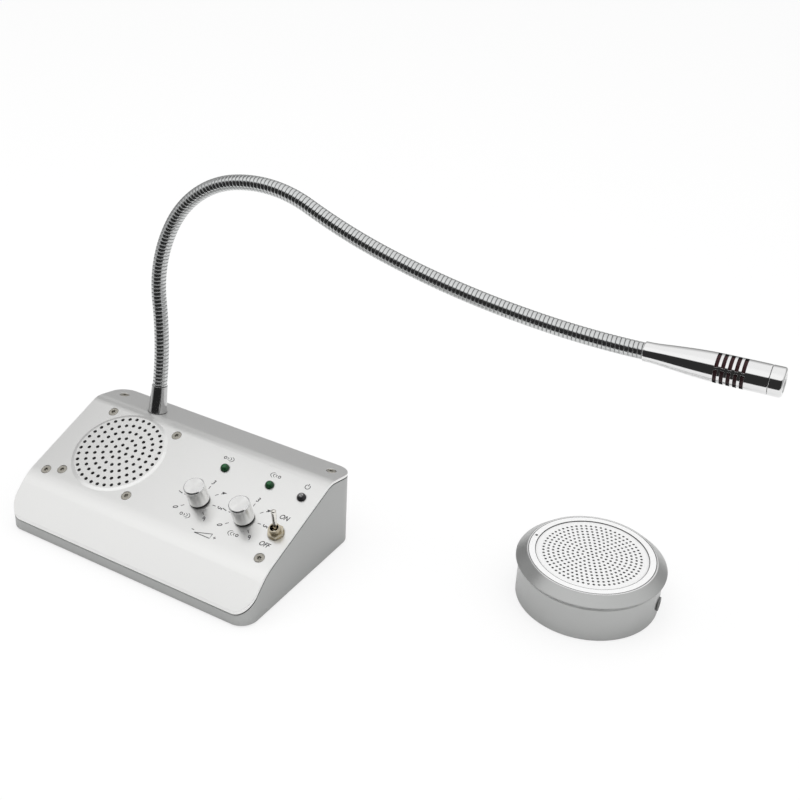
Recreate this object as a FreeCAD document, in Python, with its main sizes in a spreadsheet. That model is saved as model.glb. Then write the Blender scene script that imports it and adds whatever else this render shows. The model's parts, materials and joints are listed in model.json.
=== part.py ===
"""Counter-window intercom: desk console with a bendable microphone, and the outside unit.

Millimetres, +Z up. The console stands with its feet on z = 0, its width along X and its front towards -Y.
The origin is on the counter, under the middle of the console.

Three frames carry most of the console's pieces:
  SLOPE  on the sloping panel: +Z out of the panel, +Y up the slope, the origin on the ridge line;
  ROOF   on the narrow rear strip: +Z out of the strip, the origin on the ridge line;
  NECK   at the foot of the microphone's ferrule: +Z along the ferrule, the neck bends in its XZ plane.
"""
import FreeCAD, Part
import math
import os
import re

from FreeCAD import Placement, Rotation, Vector

SIZES = {
    # console shell
    "console_width": 165.0,
    "console_depth": 100.0,
    "console_corner": 9.5,       # radius of the upright corners
    "foot_rise": 1.0,            # rubber sheet that holds the tray's underside above the counter
    "foot_inset": 2.5,           # edge of that sheet inside the tray's outline
    "ridge_height": 47.6,        # ridge line above the underside, before rounding
    "ridge_back": 27.0,          # ridge line behind the middle
    "slope_angle": 20.7,         # fall of the panel to the front
    "roof_angle": 11.7,          # fall of the rear strip to the back
    "brow_front": 32.3,          # bend from panel to apron, in front of the middle
    "apron_angle": 43.0,
    "ridge_round": 13.0,
    "brow_round": 27.0,
    "cover_sheet": 1.5,
    "cover_seam": 0.6,           # shadow gap between the tray's edge and the cover
    "tray_wall": 2.0,
    "tray_floor": 2.0,
    # cover screws and their posts
    "corner_screw_inset": 8.8,   # from the console's sides
    "roof_screw_run": 13.7,      # from the ridge line, up the strip
    "slope_screw_run": 57.2,     # from the ridge line, down the panel
    "screw_thread": 3.0,
    "screw_head": 6.0,
    "screw_reach": 7.5,
    "screw_socket": 2.0,         # hexagon across flats
    "post_diameter": 8.4,
    # loudspeaker
    "speaker_inset": 41.0,       # from the left side
    "speaker_run": 30.0,
    "disc_diameter": 55.6,       # foot of the stamped disc that stands up over the loudspeaker
    "disc_rise": 0.6,
    "disc_slope": 1.8,           # width of its sloping edge
    "grille_pitch": 4.8,
    "grille_rings": 5,
    "grille_step": 7,            # holes that each ring has more than the one inside it
    "grille_hole": 2.1,
    "speaker_screw_pitch": 46.8,
    "speaker_square": 52.0,
    "speaker_mouth": 50.4,
    "speaker_depth": 19.0,
    "speaker_magnet": 30.0,
    "gasket_squeeze": 1.0,       # foam under the cover
    "plate_sheet": 1.2,
    "nut_height": 2.4,
    "nut_flats": 5.5,
    # volume controls
    "internal_inset": 60.2,      # from the right side
    "external_inset": 30.5,
    "knob_run": 39.3,
    "knob_diameter": 11.5,
    "knob_height": 12.0,
    "knob_gap": 0.8,
    "knob_skirt": 9.9,
    "knob_skirt_depth": 2.6,
    "shaft_diameter": 4.0,
    "shaft_clearance": 0.05,
    "bush_diameter": 6.0,
    "bush_clearance": 0.1,
    "pot_side": 11.0,
    "pot_depth": 6.5,
    "panel_nut_flats": 8.0,
    "pot_nut_height": 1.6,
    "panel_washer": 9.0,
    "panel_washer_sheet": 0.4,
    # toggle switch
    "switch_inset": 9.3,         # from the right side
    "switch_run": 40.5,
    "switch_nut_height": 2.0,
    "switch_bush_rise": 5.0,
    "switch_bush_bore": 4.7,
    "switch_length": 13.2,
    "switch_width": 8.0,
    "switch_depth": 9.5,
    "lever_pivot": 1.2,          # pivot above the panel
    "lever_length": 15.2,        # pivot to tip
    "lever_foot": 2.2,
    "lever_tip": 2.8,
    "lever_ball": 3.8,
    "lever_tail": 3.0,
    "lever_angle": 13.5,         # lean towards ON
    # lamps
    "lamp_run": 15.2,
    "inner_lamp_inset": 60.2,    # from the right side
    "outer_lamp_inset": 30.3,
    "power_lamp_inset": 9.6,
    "lamp_diameter": 5.0,
    "lamp_flange": 5.8,
    "lamp_hole_gap": 0.05,
    # circuit board
    "board_inset": 16.5,         # from the right side
    "board_length": 78.0,
    "board_end_gap": 16.0,       # from the console's front and back
    "board_sheet": 1.6,
    "pillar_height": 5.0,
    "pillar_diameter": 5.2,
    "pillar_inset": 4.5,
    "heat_sink_height": 14.0,
    # rear sockets
    "socket_height": 15.0,
    "power_socket_inset": 32.5,  # from the right side
    "socket_pitch": 25.0,
    "jack_neck": 8.0,
    "jack_bore": 3.6,
    "power_neck": 11.0,
    "power_bore": 6.3,
    "power_pin": 2.1,
    "socket_body": 14.0,
    "socket_case_wall": 2.0,     # case beyond its neck, on each side
    "socket_flange": 1.2,
    "socket_flange_lap": 0.8,    # flange beyond its square neck's corners
    # ferrule and neck
    "ferrule_inset": 38.8,       # from the left side
    "ferrule_run": 8.0,
    "ferrule_foot": 10.7,
    "ferrule_top": 8.9,
    "ferrule_height": 16.2,
    "ferrule_thread": 7.0,
    "ferrule_nut_flats": 9.0,
    "ferrule_nut_height": 3.0,
    "ferrule_washer": 10.4,
    "ferrule_washer_sheet": 0.8,
    "neck_angle": 4.0,           # the neck's plane, turned from +X about the ferrule
    "neck_diameter": 8.3,
    "neck_bore": 4.0,
    "neck_pitch": 47.85,         # joint to joint along the centreline
    "cup_gap": 1.6,              # rim of a cup below the joint's centre
    "cup_clearance": 0.1,
    "bend_angle_1": 12.8,
    "bend_angle_2": -37.1,
    "bend_angle_3": -51.6,
    "bend_angle_4": -35.5,
    "bend_angle_5": 7.6,
    "bend_angle_6": 5.4,
    "bend_angle_7": 4.7,
    "bend_angle_8": 5.7,
    # microphone
    "mic_neck_diameter": 9.7,
    "mic_waist_diameter": 12.4,
    "mic_head_diameter": 14.4,
    "mic_pocket": 8.0,
    "mic_waist_at": 18.0,
    "mic_head_at": 34.0,
    "mic_cap_at": 59.0,
    "mic_cap_length": 6.6,
    "mic_cap_round": 1.5,
    "mic_bore": 12.4,
    "mic_bore_at": 30.0,
    "mic_slot_at": 35.0,
    "mic_slot_pitch": 3.1,
    "mic_slot_width": 1.8,
    "mic_slots": 5,
    "mic_web_angle": 10.0,       # solid wall between slots
    "mic_web_turn": 80.0,        # turn of the first of those walls about the microphone
    "mic_screen_wall": 0.5,
    "capsule_diameter": 9.7,
    "capsule_height": 5.0,
    # outside unit
    "unit_x": 215.5,
    "unit_y": 75.5,
    "unit_height": 27.0,
    "unit_rim_diameter": 80.0,
    "unit_rim_height": 22.4,
    "unit_body_diameter": 76.4,
    "unit_waist_height": 19.6,
    "unit_lip_diameter": 69.4,
    "unit_wall": 2.2,
    "unit_pad_sheet": 1.0,
    "unit_plate_sheet": 2.0,
    "unit_ring_diameter": 67.2,
    "unit_ring_sheet": 2.5,
    "unit_ring_window": 60.2,
    "unit_ring_lip": 54.6,
    "unit_grille_sheet": 0.8,
    "unit_grille_sink": 0.4,     # grille's face under the ring's
    "unit_hole": 1.4,
    "unit_hole_pitch": 2.58,
    "unit_hole_rings": 10,
    "unit_hole_step": 6,
    "unit_speaker_diameter": 57.0,
    "unit_speaker_depth": 13.0,
    "unit_mic_angle": 182.0,
    "unit_mic_diameter": 4.6,
    "unit_mic_hole": 1.6,
    "unit_inlet_angle": 6.0,
    "unit_inlet_height": 8.0,
    "unit_inlet_bore": 3.6,
    "unit_inlet_hole": 5.2,      # side of the square hole
    "unit_inlet_collar": 7.6,
    "unit_inlet_flange": 8.4,
    "unit_post_diameter": 8.4,
    "slip": 0.05,                # slide fit between pieces of one housing
}

doc = FreeCAD.newDocument("CounterIntercom")
sheet = doc.addObject("Spreadsheet::Sheet", "Sizes")
for row, (alias, value) in enumerate(SIZES.items(), start=1):
    sheet.set(f"A{row}", alias)
    sheet.set(f"B{row}", str(value))
    sheet.setAlias(f"B{row}", alias)
doc.recompute()

X_AXIS, Y_AXIS, Z_AXIS = Vector(1, 0, 0), Vector(0, 1, 0), Vector(0, 0, 1)
ROUNDING = 1e-6
WORD = re.compile(r"[a-z][a-z_0-9]*")
sub_parts = {}


# ---------------------------------------------------------------- helpers

def size(alias):
    """Value of one cell of the sheet."""
    return float(sheet.get(alias))


def formula(text):
    """Expression text with each size's name pointing at its cell."""
    return WORD.sub(lambda word: f"Sizes.{word[0]}" if word[0] in SIZES else word[0], str(text))


def bind(obj, **properties):
    """Tie properties of an object to formulas of the sheet's sizes."""
    for name, text in properties.items():
        obj.setExpression(name, formula(text))
    return obj


def put(obj, x=0, y=0, z=0, axis=None, angle=0):
    """Place an object: an origin and one turn, both tied to formulas."""
    if axis is not None:
        obj.Placement = Placement(Vector(), Rotation(axis, 1))
        obj.setExpression("Placement.Rotation.Angle", formula(angle))
    for letter, text in zip("xyz", (x, y, z)):
        obj.setExpression(f"Placement.Base.{letter}", formula(text))
    return obj


def cylinder(name, diameter, height, x=0, y=0, z=0, axis=None, angle=0):
    """Upright cylinder, by diameter."""
    obj = bind(doc.addObject("Part::Cylinder", name), Radius=f"({diameter}) / 2", Height=height)
    return put(obj, x, y, z, axis, angle)


def cone(name, low, high, height, x=0, y=0, z=0, axis=None, angle=0):
    """Upright cone, by its low and high diameters."""
    obj = doc.addObject("Part::Cone", name)
    bind(obj, Radius1=f"({low}) / 2", Radius2=f"({high}) / 2", Height=height)
    return put(obj, x, y, z, axis, angle)


def box(name, length, width, height, x=0, y=0, z=0):
    """Box whose x and y are those of its middle, and z that of its underside."""
    obj = bind(doc.addObject("Part::Box", name), Length=length, Width=width, Height=height)
    return put(obj, f"({x}) - ({length}) / 2", f"({y}) - ({width}) / 2", z)


def hexagon(name, flats, height, x=0, y=0, z=0):
    """Six-sided prism, by its width across flats."""
    obj = doc.addObject("Part::Prism", name)
    obj.Polygon = 6
    bind(obj, Circumradius=f"({flats}) / sqrt(3)", Height=height)
    return put(obj, x, y, z)


def join(name, *shapes):
    """Pieces fused into one."""
    obj = doc.addObject("Part::MultiFuse", name)
    obj.Shapes = list(shapes)
    return obj


def group(name, *shapes):
    """Separate pieces kept together."""
    obj = doc.addObject("Part::Compound", name)
    obj.Links = list(shapes)
    return obj


def cut(name, base, *tools):
    """A piece less its tools."""
    obj = doc.addObject("Part::Cut", name)
    obj.Base = base
    obj.Tool = tools[0] if len(tools) == 1 else join(f"{name}_tools", *tools)
    return obj


def common(name, first, *others):
    """What all the shapes share."""
    obj = doc.addObject("Part::MultiCommon", name)
    obj.Shapes = [first, *others]
    return obj


def rounded(name, base, radius, choose):
    """A piece with the edges that `choose` picks rounded off."""
    doc.recompute()
    obj = doc.addObject("Part::Fillet", name)
    obj.Base = base
    obj.Edges = [(i, radius, radius) for i, edge in enumerate(base.Shape.Edges, start=1) if choose(edge)]
    return obj


def upright(edge):
    """Whether an edge runs straight up."""
    return edge.BoundBox.XLength + edge.BoundBox.YLength < ROUNDING


def drills(name, diameter, height, z, points):
    """Identical drills at many points, as one tool."""
    obj = doc.addObject("Part::Feature", name)
    obj.Shape = Part.makeCompound([Part.makeCylinder(diameter / 2, height, Vector(x, y, z))
                                   for x, y in points])
    return obj


def ring_points(rings, pitch, step):
    """Centres of a field of holes: one in the middle, then rings that gain `step` holes each."""
    points = [(0.0, 0.0)]
    for ring in range(1, int(rings) + 1):
        for k in range(int(step) * ring):
            turn = 2 * math.pi * k / (int(step) * ring)
            points.append((ring * pitch * math.cos(turn), ring * pitch * math.sin(turn)))
    return points


def sub_part(obj, label, placement=None):
    """Name a finished piece, and carry it from its own frame to its place."""
    if placement is not None:
        obj = placement(group(f"{obj.Name}_placed", obj))
    obj.Label = label
    sub_parts[label] = obj
    return obj


RIDGE_Z = "foot_rise + ridge_height"
BROW_Z = f"{RIDGE_Z} - (ridge_back + brow_front) * tan(slope_angle)"


def from_right(inset):
    """X of a point that lies `inset` in from the console's right side."""
    return f"(console_width / 2 - {inset})"


def from_left(inset):
    """X of a point that lies `inset` in from the console's left side."""
    return f"({inset} - console_width / 2)"


CORNER_SCREW_X = from_right("corner_screw_inset")
SPEAKER_X = from_left("speaker_inset")
FERRULE_X = from_left("ferrule_inset")
INTERNAL_X = from_right("internal_inset")
EXTERNAL_X = from_right("external_inset")
SWITCH_X = from_right("switch_inset")
INNER_LAMP_X = from_right("inner_lamp_inset")
OUTER_LAMP_X = from_right("outer_lamp_inset")
POWER_LAMP_X = from_right("power_lamp_inset")
POWER_SOCKET_X = from_right("power_socket_inset")
UNIT_SOCKET_X = from_right("(power_socket_inset + socket_pitch)")
LINE_SOCKET_X = from_right("(power_socket_inset + 2 * socket_pitch)")


def in_world(obj):
    """Leave an object in the console's own frame."""
    return obj


def on_slope(obj):
    """Carry an object from the SLOPE frame."""
    return put(obj, 0, "ridge_back", RIDGE_Z, X_AXIS, "slope_angle")


def on_roof(obj):
    """Carry an object from the ROOF frame."""
    return put(obj, 0, "ridge_back", RIDGE_Z, -X_AXIS, "roof_angle")


def at_unit(obj):
    """Carry an object from the outside unit's frame, whose origin is under its middle."""
    return put(obj, "unit_x", "unit_y", 0)


# ---------------------------------------------------------------- console shell

def half_space(name, placement, drop):
    """Everything under one face of the cover, `drop` below it, as a slab."""
    slab = box(f"{name}_slab", "2 * console_width", "2 * console_depth", "2 * console_depth",
               z=f"-2 * console_depth - ({drop})")
    return placement(group(name, slab))


def on_apron(obj):
    """Carry an object from the frame of the apron, whose origin is on the lower bend."""
    return put(obj, 0, "-brow_front", BROW_Z, X_AXIS, "apron_angle")


def under_skin(name, *drops):
    """Everything under the cover's bent outer face, moved down by the sizes named in `drops`."""
    drop = " + ".join(drops) or "0"
    inset = sum(size(alias) for alias in drops)
    raw = common(f"{name}_raw",
                 half_space(f"{name}_roof", on_roof, drop),
                 half_space(f"{name}_slope", on_slope, drop),
                 half_space(f"{name}_apron", on_apron, drop))

    def bend_at(y):
        return lambda edge: (edge.BoundBox.XLength > size("console_width") and edge.BoundBox.ZMin > 0
                             and abs(edge.BoundBox.Center.y - y) < 2 * size("cover_sheet"))

    ridge = rounded(f"{name}_ridge", raw, size("ridge_round") - inset, bend_at(size("ridge_back")))
    return rounded(name, ridge, size("brow_round") - inset, bend_at(-size("brow_front")))


def plan_block(name, inset, z, height="2 * ridge_height"):
    """Rounded plan of the console, the size named `inset` inside its outline, as an upright block."""
    raw = box(f"{name}_raw", f"console_width - 2 * ({inset})", f"console_depth - 2 * ({inset})", height, z=z)
    radius = size("console_corner") - (size(inset) if inset in SIZES else 0.0)
    return rounded(name, raw, radius, upright)


outline = plan_block("outline", "0", "foot_rise")
inside = plan_block("inside", "tray_wall", "foot_rise + tray_floor")
skin = under_skin("skin")
underside = under_skin("underside", "cover_sheet")
wall_top = under_skin("wall_top", "cover_sheet", "cover_seam")

SIDES = (("left", -1), ("right", 1))
POST_ROWS = (
    ("roof", "ridge_back + roof_screw_run * cos(roof_angle) - screw_reach / 2 * sin(roof_angle)"),
    ("slope", "ridge_back - slope_screw_run * cos(slope_angle) + screw_reach / 2 * sin(slope_angle)"),
)


def posts():
    """Four posts under the cover's screws, each with a web to the side wall."""
    made = []
    for side, sign in SIDES:
        for row, y in POST_ROWS:
            post = cylinder(f"post_{row}_{side}", "post_diameter", "2 * ridge_height",
                            f"{sign} * {CORNER_SCREW_X}", y, "foot_rise")
            web = box(f"web_{row}_{side}", "corner_screw_inset", "tray_wall", "2 * ridge_height",
                      f"{sign} * (console_width - corner_screw_inset) / 2", y, "foot_rise")
            made.append(join(f"webbed_post_{row}_{side}", post, web))
    return made


def screw_holes(name, diameter, depth, run):
    """Two holes into the cover's left and right screws, in the frame of their face."""
    return group(name, *(cylinder(f"{name}_{side}", diameter, depth, f"{sign} * {CORNER_SCREW_X}", run,
                                  f"-({depth})") for side, sign in SIDES))


TAPPED = "cover_sheet + screw_reach"
SOCKETS = (("power", POWER_SOCKET_X, "power_neck"), ("unit", UNIT_SOCKET_X, "jack_neck"),
           ("line", LINE_SOCKET_X, "jack_neck"))
WALL_Y = "console_depth / 2"
socket_holes = [box(f"{name}_socket_hole", f"{neck} + 2 * slip", "4 * tray_wall", f"{neck} + 2 * slip", x,
                    WALL_Y,
                    f"foot_rise + socket_height - {neck} / 2 - slip") for name, x, neck in SOCKETS]
tray_solid = cut("tray_solid", common("tray_form", outline, wall_top), inside)
sub_part(cut("tray", tray_solid, *socket_holes), "base_tray")

tapped_roof = on_roof(screw_holes("tapped_roof", "screw_thread", TAPPED, "roof_screw_run"))
tapped_slope = on_slope(screw_holes("tapped_slope", "screw_thread", TAPPED, "-slope_screw_run"))
webbed_posts = common("webbed_posts", group("post_set", *posts()), inside, underside)
sub_part(cut("tapped_posts", webbed_posts, tapped_roof, tapped_slope), "cover_posts")

sub_part(plan_block("base_sheet", "foot_inset", "0", "foot_rise"), "rubber_base")


# ---------------------------------------------------------------- front cover

PANEL_HOLES = (
    ("internal", "bush_diameter + 2 * bush_clearance", INTERNAL_X, "-knob_run"),
    ("external", "bush_diameter + 2 * bush_clearance", EXTERNAL_X, "-knob_run"),
    ("switch", "bush_diameter + 2 * bush_clearance", SWITCH_X, "-switch_run"),
    ("inner_lamp", "lamp_diameter + 2 * lamp_hole_gap", INNER_LAMP_X, "-lamp_run"),
    ("outer_lamp", "lamp_diameter + 2 * lamp_hole_gap", OUTER_LAMP_X, "-lamp_run"),
    ("power_lamp", "lamp_diameter + 2 * lamp_hole_gap", POWER_LAMP_X, "-lamp_run"),
)
CORNERS = [(i, j) for i in (-1, 1) for j in (-1, 1)]


def speaker_corner(i, j):
    """Place of one of the loudspeaker's four screws, in the SLOPE frame."""
    return f"{SPEAKER_X} + {i} * speaker_screw_pitch / 2", f"-speaker_run + {j} * speaker_screw_pitch / 2"


def countersink(name, x, y):
    """Seat of a flat-headed screw that lies flush in a face."""
    return cone(name, "screw_thread", "screw_head", "(screw_head - screw_thread) / 2", x, y,
                "-(screw_head - screw_thread) / 2")


def countersunk_holes():
    """Seats and holes of the screws in the sloping panel."""
    made = []
    for i, j in CORNERS:
        x, y = speaker_corner(i, j)
        made.append(countersink(f"speaker_seat_{i}{j}", x, y))
        made.append(cylinder(f"speaker_hole_{i}{j}", "screw_thread", "4 * cover_sheet", x, y,
                             "-3 * cover_sheet"))
    for side, sign in SIDES:
        x, y = f"{sign} * {CORNER_SCREW_X}", "-slope_screw_run"
        made.append(countersink(f"slope_seat_{side}", x, y))
        made.append(cylinder(f"slope_hole_{side}", "screw_thread", "4 * cover_sheet", x, y,
                             "-3 * cover_sheet"))
    return made


def stamped_disc(name, z):
    """Disc with a sloping edge that stands up from a face at `z` of the SLOPE frame, and reaches as far below."""
    return cone(name, "disc_diameter + 2 * disc_slope", "disc_diameter - 2 * disc_slope", "2 * disc_rise",
                SPEAKER_X, "-speaker_run", f"{z} - disc_rise")


raised = on_slope(group("raised", stamped_disc("raised_disc", "0")))
cover_solid = join("cover_solid", cut("cover_form", common("cover_block", outline, skin), underside), raised)
panel_holes = on_slope(group("panel_holes", *(
    cylinder(f"{name}_hole", diameter, "4 * cover_sheet", x, y, "-3 * cover_sheet")
    for name, diameter, x, y in PANEL_HOLES)))
raised_hollow = on_slope(group("raised_hollow", stamped_disc("hollow_disc", "-cover_sheet")))
slope_screws = on_slope(join("slope_screw_holes", *countersunk_holes()))
roof_tools = []
for side, sign in SIDES:
    screw_x = f"{sign} * {CORNER_SCREW_X}"
    roof_tools.append(countersink(f"roof_seat_{side}", screw_x, "roof_screw_run"))
    roof_tools.append(cylinder(f"roof_hole_{side}", "screw_thread", "4 * cover_sheet", screw_x,
                               "roof_screw_run",
                               "-3 * cover_sheet"))
ferrule_hole = cylinder("ferrule_hole", "ferrule_thread + 2 * slip", "4 * cover_sheet", FERRULE_X,
                        "ferrule_run",
                        "-3 * cover_sheet")
roof_screws = on_roof(join("roof_screw_holes", *roof_tools, ferrule_hole))
grille_drills = drills("grille_drills", size("grille_hole"), 4 * size("cover_sheet"),
                       -3 * size("cover_sheet"),
                       ring_points(size("grille_rings"), size("grille_pitch"), size("grille_step")))
put(grille_drills, SPEAKER_X, "-speaker_run", 0)
cover_plain = cut("cover_plain", cut("cover_stamped", cover_solid, raised_hollow), panel_holes, slope_screws,
                  roof_screws)
sub_part(cut("front_cover", cover_plain, on_slope(group("grille_holes", grille_drills))), "front_cover")


def flat_screw(name, reach, x, y):
    """Countersunk socket screw, its head flush with z = 0 of its frame."""
    head = countersink(f"{name}_head", x, y)
    shank = cylinder(f"{name}_shank", "screw_thread", reach, x, y, f"-({reach})")
    socket = hexagon(f"{name}_socket", "screw_socket", "screw_thread", x, y, "-screw_thread / 3")
    return cut(name, join(f"{name}_blank", head, shank), socket)


slope_cover_screws = on_slope(group("slope_cover_screws", *(
    flat_screw(f"slope_screw_{side}", "cover_sheet + screw_reach", f"{sign} * {CORNER_SCREW_X}",
               "-slope_screw_run")
    for side, sign in SIDES)))
roof_cover_screws = on_roof(group("roof_cover_screws", *(
    flat_screw(f"roof_screw_{side}", "cover_sheet + screw_reach", f"{sign} * {CORNER_SCREW_X}",
               "roof_screw_run")
    for side, sign in SIDES)))
sub_part(group("cover_screws", slope_cover_screws, roof_cover_screws), "cover_screws")


# ---------------------------------------------------------------- loudspeaker

PLATE_TOP = "-cover_sheet - gasket_squeeze"


def speaker_holes(name, diameter, top):
    """Four screw holes down through the loudspeaker's square plate."""
    return [cylinder(f"{name}_{i}{j}", diameter, "10 * plate_sheet", *speaker_corner(i, j),
                     f"({top}) - 5 * plate_sheet") for i, j in CORNERS]


def speaker_disc(name, diameter, height, z):
    """Round piece on the loudspeaker's axis."""
    return cylinder(name, diameter, height, SPEAKER_X, "-speaker_run", z)


def speaker_cone(name, low, high, height, z):
    """Conical piece on the loudspeaker's axis."""
    return cone(name, low, high, height, SPEAKER_X, "-speaker_run", z)


gasket_block = box("gasket_block", "speaker_square", "speaker_square", "gasket_squeeze",
                   SPEAKER_X, "-speaker_run", PLATE_TOP)
gasket_rise = common("gasket_rise", stamped_disc("gasket_disc", "-cover_sheet"),
                     box("gasket_column", "speaker_square", "speaker_square", "gasket_squeeze + disc_rise",
                         SPEAKER_X, "-speaker_run", PLATE_TOP))
gasket_mouth = speaker_disc("gasket_mouth", "speaker_mouth", "10 * plate_sheet", f"{PLATE_TOP} - plate_sheet")
gasket_holes = speaker_holes("gasket_hole", "screw_thread", PLATE_TOP)
gasket_form = join("gasket_form", gasket_block, gasket_rise)
sub_part(cut("gasket", gasket_form, gasket_mouth, *gasket_holes), "speaker_gasket", on_slope)

BASKET_TOP = f"{PLATE_TOP} - plate_sheet"
BASKET_HEIGHT = "(speaker_depth * 0.55)"
MAGNET_TOP = f"{BASKET_TOP} - {BASKET_HEIGHT}"
MAGNET_HEIGHT = f"(speaker_depth - plate_sheet - {BASKET_HEIGHT})"
FRAME_MOUTH = "speaker_mouth - 3 * plate_sheet"
PAPER_SHEET = "plate_sheet / 2"
PAPER_DEPTH = f"({BASKET_HEIGHT} * 0.6)"

frame_plate = box("frame_plate", "speaker_square", "speaker_square", "plate_sheet", SPEAKER_X, "-speaker_run",
                  BASKET_TOP)
frame_cone = speaker_cone("frame_cone", "speaker_magnet", "speaker_mouth - plate_sheet", BASKET_HEIGHT,
                          MAGNET_TOP)
frame_hollow = speaker_cone("frame_hollow", "speaker_magnet - 2 * plate_sheet", FRAME_MOUTH,
                            f"{BASKET_HEIGHT} - plate_sheet", f"{MAGNET_TOP} + plate_sheet")
frame_mouth = speaker_disc("frame_mouth", FRAME_MOUTH, "2 * plate_sheet", BASKET_TOP)
frame_windows = [put(bind(doc.addObject("Part::Box", f"frame_window_{k}"), Length="speaker_mouth",
                          Width="speaker_magnet / 3", Height=f"{BASKET_HEIGHT} / 2"),
                     SPEAKER_X, "-speaker_run", f"{MAGNET_TOP} + {BASKET_HEIGHT} / 4", Z_AXIS, 30 + 90 * k)
                 for k in range(4)]
frame_open = cut("frame_open", join("frame_solid", frame_plate, frame_cone), frame_hollow, frame_mouth)
sub_part(cut("frame", frame_open, *frame_windows, *speaker_holes("frame_hole", "screw_thread", PLATE_TOP)),
         "speaker_frame", on_slope)
sub_part(speaker_disc("magnet", "speaker_magnet", MAGNET_HEIGHT, f"{MAGNET_TOP} - {MAGNET_HEIGHT}"),
         "speaker_magnet", on_slope)


def paper_cone(name, mouth, coil, depth, sheet_size, rim_top, placed):
    """Paper cone with a flat rim and a domed middle: its rim lies on the frame at `rim_top`."""
    rim = placed(cylinder(f"{name}_rim", f"({mouth}) + 4 * ({sheet_size})", sheet_size, z=rim_top))
    outer = placed(cone(f"{name}_outer", coil, f"({mouth}) - 2 * slip", depth, z=f"{rim_top} - ({depth})"))
    inner = placed(cone(f"{name}_inner", f"({coil}) - 2 * ({sheet_size})", f"({mouth}) - 2 * ({sheet_size})",
                        f"({depth}) + ({sheet_size})", z=f"{rim_top} - ({depth})"))
    cap = placed(cylinder(f"{name}_cap", coil, sheet_size, z=f"{rim_top} - ({depth})"))
    return join(name, cut(f"{name}_shell", join(f"{name}_blank", rim, outer), inner), cap)


def at_speaker(obj):
    """Move a round piece onto the console loudspeaker's axis."""
    obj.setExpression("Placement.Base.x", formula(SPEAKER_X))
    obj.setExpression("Placement.Base.y", formula("-speaker_run"))
    return obj


sub_part(paper_cone("paper", FRAME_MOUTH, "speaker_magnet / 2", PAPER_DEPTH, PAPER_SHEET, PLATE_TOP,
                    at_speaker),
         "speaker_cone", on_slope)

SPEAKER_REACH = "cover_sheet + gasket_squeeze + plate_sheet + nut_height"
speaker_screws = [flat_screw(f"speaker_screw_{i}{j}", SPEAKER_REACH, *speaker_corner(i, j))
                  for i, j in CORNERS]
sub_part(group("speaker_screw_set", *speaker_screws), "speaker_screws", on_slope)


def ring_nut(name, flats, bore, height, x, y, z):
    """Hexagon nut."""
    return cut(name, hexagon(f"{name}_blank", flats, height, x, y, z),
               cylinder(f"{name}_bore", bore, f"2 * ({height})", x, y, f"{z} - ({height}) / 2"))


def washer(name, diameter, bore, height, x, y, z):
    """Flat ring."""
    return cut(name, cylinder(f"{name}_blank", diameter, height, x, y, z),
               cylinder(f"{name}_bore", bore, f"2 * ({height})", x, y, f"{z} - ({height}) / 2"))


NUT_Z = f"{BASKET_TOP} - nut_height"
sub_part(group("speaker_nut_set", *(ring_nut(f"speaker_nut_{i}{j}", "nut_flats", "screw_thread", "nut_height",
                                             *speaker_corner(i, j), NUT_Z) for i, j in CORNERS)),
         "speaker_nuts", on_slope)


# ---------------------------------------------------------------- volume controls

CONTROLS = (("internal", INTERNAL_X), ("external", EXTERNAL_X))
POT_BUSH_RISE = "(panel_washer_sheet + pot_nut_height + slip)"
SHAFT_FOOT = "(-cover_sheet - pot_depth / 2)"


def potentiometer(name, x):
    """Body under the cover, threaded bush through it and three tags, bored for the shaft."""
    body = box(f"{name}_case", "pot_side", "pot_side", "pot_depth", x, "-knob_run",
               "-cover_sheet - pot_depth")
    bush = cylinder(f"{name}_bush", "bush_diameter", f"cover_sheet + {POT_BUSH_RISE}", x, "-knob_run",
                    "-cover_sheet")
    tags = [box(f"{name}_tag_{k}", "panel_washer_sheet * 2", "pot_side / 2", "panel_washer_sheet",
                f"{x} + {k} * pot_side / 3", "-knob_run - pot_side * 0.7", "-cover_sheet - pot_depth")
            for k in (-1, 0, 1)]
    bore = cylinder(f"{name}_bore", "shaft_diameter + 2 * shaft_clearance", "4 * pot_depth", x, "-knob_run",
                    f"{SHAFT_FOOT} - shaft_clearance")
    return cut(name, join(f"{name}_blank", body, bush, *tags), bore)


def knob(name, x):
    """Turned knob with a skirt that hides the nut, and a blind bore that grips the shaft."""
    body = cylinder(f"{name}_body", "knob_diameter", "knob_height", x, "-knob_run", "knob_gap")
    skirt = cylinder(f"{name}_skirt", "knob_skirt", "2 * knob_skirt_depth", x, "-knob_run",
                     "knob_gap - knob_skirt_depth")
    bore = cylinder(f"{name}_grip", "shaft_diameter", "knob_height - knob_skirt_depth", x, "-knob_run",
                    "knob_gap")
    return cut(name, body, skirt, bore)


def shaft(name, x):
    """Control shaft from the middle of the body to the end of the knob's bore."""
    reach = f"knob_gap + knob_height - knob_skirt_depth - {SHAFT_FOOT}"
    return cylinder(name, "shaft_diameter", reach, x, "-knob_run", SHAFT_FOOT)


for control, x in CONTROLS:
    sub_part(potentiometer(f"{control}_pot", x), f"{control}_pot", on_slope)
    sub_part(shaft(f"{control}_spindle", x), f"{control}_shaft", on_slope)
    sub_part(knob(f"{control}_grip", x), f"{control}_knob", on_slope)


# ---------------------------------------------------------------- toggle switch

def switch_cylinder(name, diameter, height, z):
    """Round piece on the switch's axis."""
    return cylinder(name, diameter, height, SWITCH_X, "-switch_run", z)


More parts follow.
